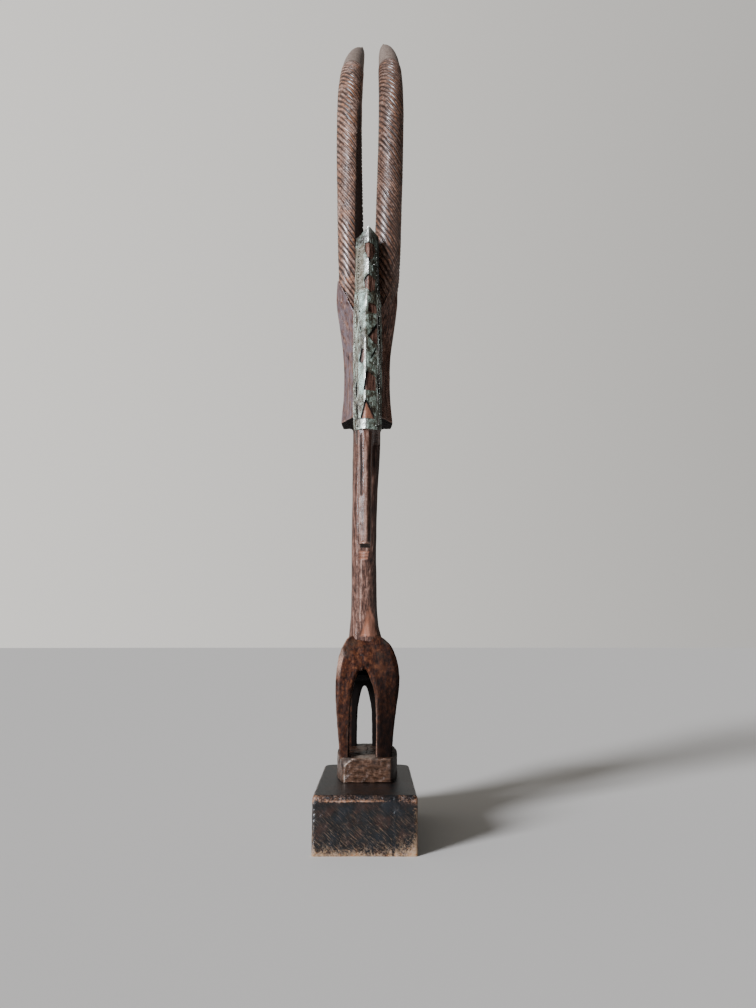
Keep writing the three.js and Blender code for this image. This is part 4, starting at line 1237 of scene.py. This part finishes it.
def makeBlock():
    half, depthHalf, tall = (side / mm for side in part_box("plinth")[1])
    arcs = []
    for k, (sideX, sideY, key) in enumerate((
            (1, 1, "rearCorner"), (-1, 1, "rearCorner"), (-1, -1, "frontCorner"), (1, -1, "frontCorner"))):
        radius = block[key]
        angle = (k + np.linspace(0, 1, 14)) * np.pi / 2
        arcs.append(np.stack([sideX * (half - radius) + radius * np.cos(angle),
                              sideY * (depthHalf - radius) + radius * np.sin(angle)], -1))
    rings, insets = blockRings(
        evenly(np.concatenate(arcs), 560), 0.0, tall, block["footWear"], block["topWear"], 1.1)
    x, y = rings[..., 0], rings[..., 1]
    chips = np.clip(lumps(rings, 7, 31) + 0.6 * lumps(rings, 2.6, 32), -0.7, 1)
    inward = (insets < 6)[:, None] * (0.22 + 0.3 * chips)
    rings[..., 1] += 0.3 * np.exp(-((x - block["crack"]) / 0.9)**2) * (y < plinthFront + 1)
    rings[..., :2] *= 1 - (inward / 60)[..., None]
    piece = makePiece("blockPlinth", tubeSkin(rings))
    points = readPoints(piece.data)
    x, y, z = points.T
    front = np.exp(-((y - plinthFront) / 5)**2)
    crack = np.exp(-((x - block["crack"]) / 0.8)**2) * (y < plinthFront + 2)
    # bare along the foot of the upper bevel, in patches on the bevel, and at the lower right
    bare = (0.5 * np.exp(-((z - tall + 5.4) / 1.0)**2) * ramp(lumps(points, (9, 9, 3), 34), -0.3, 0.6)
            + 0.36 * ramp(z, tall - 9.5, tall - 5.5)
            + 0.68 * np.exp(-np.maximum(half - x, 0) / 3.2) * front
            + 0.36 * np.exp(-np.maximum(x + half, 0) / 3) * front
            + 0.42 * np.exp(-np.maximum(z, 0) / 7) + 0.22 * front * ramp(x, 5, 45) * ramp(-z, -26, -4)
            + 0.2 * front * ramp(-z, -34, -2))
    bare = (bare + 0.2 * lumps(points, 9, 33) * (bare > 0.12)) * (z < tall - 0.2) - 0.6 * crack
    paint(piece.data, "bare", np.clip(bare, 0, 1))
    paint(piece.data, "rosy", 0.75 * ramp(z, tall - 16, tall - 8))
    paint(piece.data, "scuffed", front * (0.15 + 0.85 * ramp(-z, -46, -8)))
    finishPiece(piece, wornBlackPaint(), "plinth", 60)


# Floor, light and camera

studio = {
    "camera": (0.0097, -0.9025, 0.1996), "pitch": 10.17, "yaw": 0.219, "focal": 786, "frameHeight": 1008,
    # the backdrop's strength at the left and at the right
    "floor": "#d7d4cf", "backdrop": "#e0ddd8", "backdropGlow": (1.35, 0.78),
    # soft light of the room: the way towards its brightest part, and its strength there and away
    "room": (-0.77, 0.36, 0.53), "bright": 0.6, "dim": 0.02,
    # window light: the way towards it, its width in degrees and its strength
    "window": (-0.70, -0.70, 0.29), "windowWidth": 16, "windowPower": 8, "windowTint": "#f4f7ff",
}


def plainSurface(name, colour, roughness):
    material, tree = newMaterial(name)
    shader = addNode(tree, "BsdfPrincipled", {"Base Color": colour, "Roughness": roughness})
    addNode(tree, "OutputMaterial", {0: shader.outputs[0]})
    return material


def makeStudio():
    turn = np.linspace(0, 2 * np.pi, 96, endpoint=False)
    ring = np.stack([np.cos(turn), np.sin(turn), np.zeros(96)], -1) * 60
    mesh = bpy.data.meshes.new("floor")
    mesh.from_pydata(ring.tolist(), [], [list(range(96))])
    mesh.materials.append(plainSurface("pale floor", studio["floor"], 0.85))
    floor = bpy.data.objects.new("floor", mesh)
    bpy.context.scene.collection.objects.link(floor)

    world = bpy.data.worlds.new("studio")
    world.use_nodes = True
    tree = world.node_tree
    tree.nodes.clear()
    toward = addNode(tree, "TexCoord").outputs["Generated"]
    near = addNode(tree, "VectorMath", {0: toward, 1: studio["room"]}, operation="DOT_PRODUCT").outputs[1]
    soft = addNode(tree, "MapRange", {
        "Value": near, "From Min": -0.3, "From Max": 1,
        "To Min": studio["dim"], "To Max": studio["bright"]}).outputs[0]
    across = addNode(tree, "SeparateXYZ", {0: toward}).outputs[0]
    left, right = studio["backdropGlow"]
    glow = addNode(tree, "MapRange", {
        "Value": across, "From Min": -0.45, "From Max": 0.45, "To Min": left, "To Max": right}).outputs[0]
    seen = addNode(tree, "LightPath").outputs["Is Camera Ray"]
    strength = addNode(tree, "Mix", {0: seen, 2: soft, 3: glow}).outputs[0]
    light = addNode(tree, "Background", {"Color": studio["backdrop"], "Strength": strength})
    addNode(tree, "OutputWorld", {0: light.outputs[0]})
    bpy.context.scene.world = world

    data = bpy.data.lights.new("window", "SUN")
    data.angle, data.energy = math.radians(studio["windowWidth"]), studio["windowPower"]
    data.color = linear(studio["windowTint"])[:3]
    lamp = bpy.data.objects.new("window", data)
    lamp.rotation_euler = (-Vector(studio["window"])).to_track_quat("-Z", "Y").to_euler()
    bpy.context.scene.collection.objects.link(lamp)

    data = bpy.data.cameras.new("camera")
    data.sensor_width = 36
    data.lens = 36 * studio["focal"] / studio["frameHeight"]
    data.clip_start, data.clip_end = 0.01, 200
    camera = bpy.data.objects.new("camera", data)
    camera.location = studio["camera"]
    camera.rotation_euler = (math.radians(90 + studio["pitch"]), 0, -math.radians(studio["yaw"]))
    bpy.context.scene.collection.objects.link(camera)
    bpy.context.scene.camera = camera
    print("studio set")


makeStudio()
makeHead()
makeTrunk()
makeMane()
ringed = ringedHardwood()
makeHorn("leftHorn", -1, ringed)
makeHorn("rightHorn", 1, ringed)
makePlate()
makeNails()
makeBase()
makeBlock()
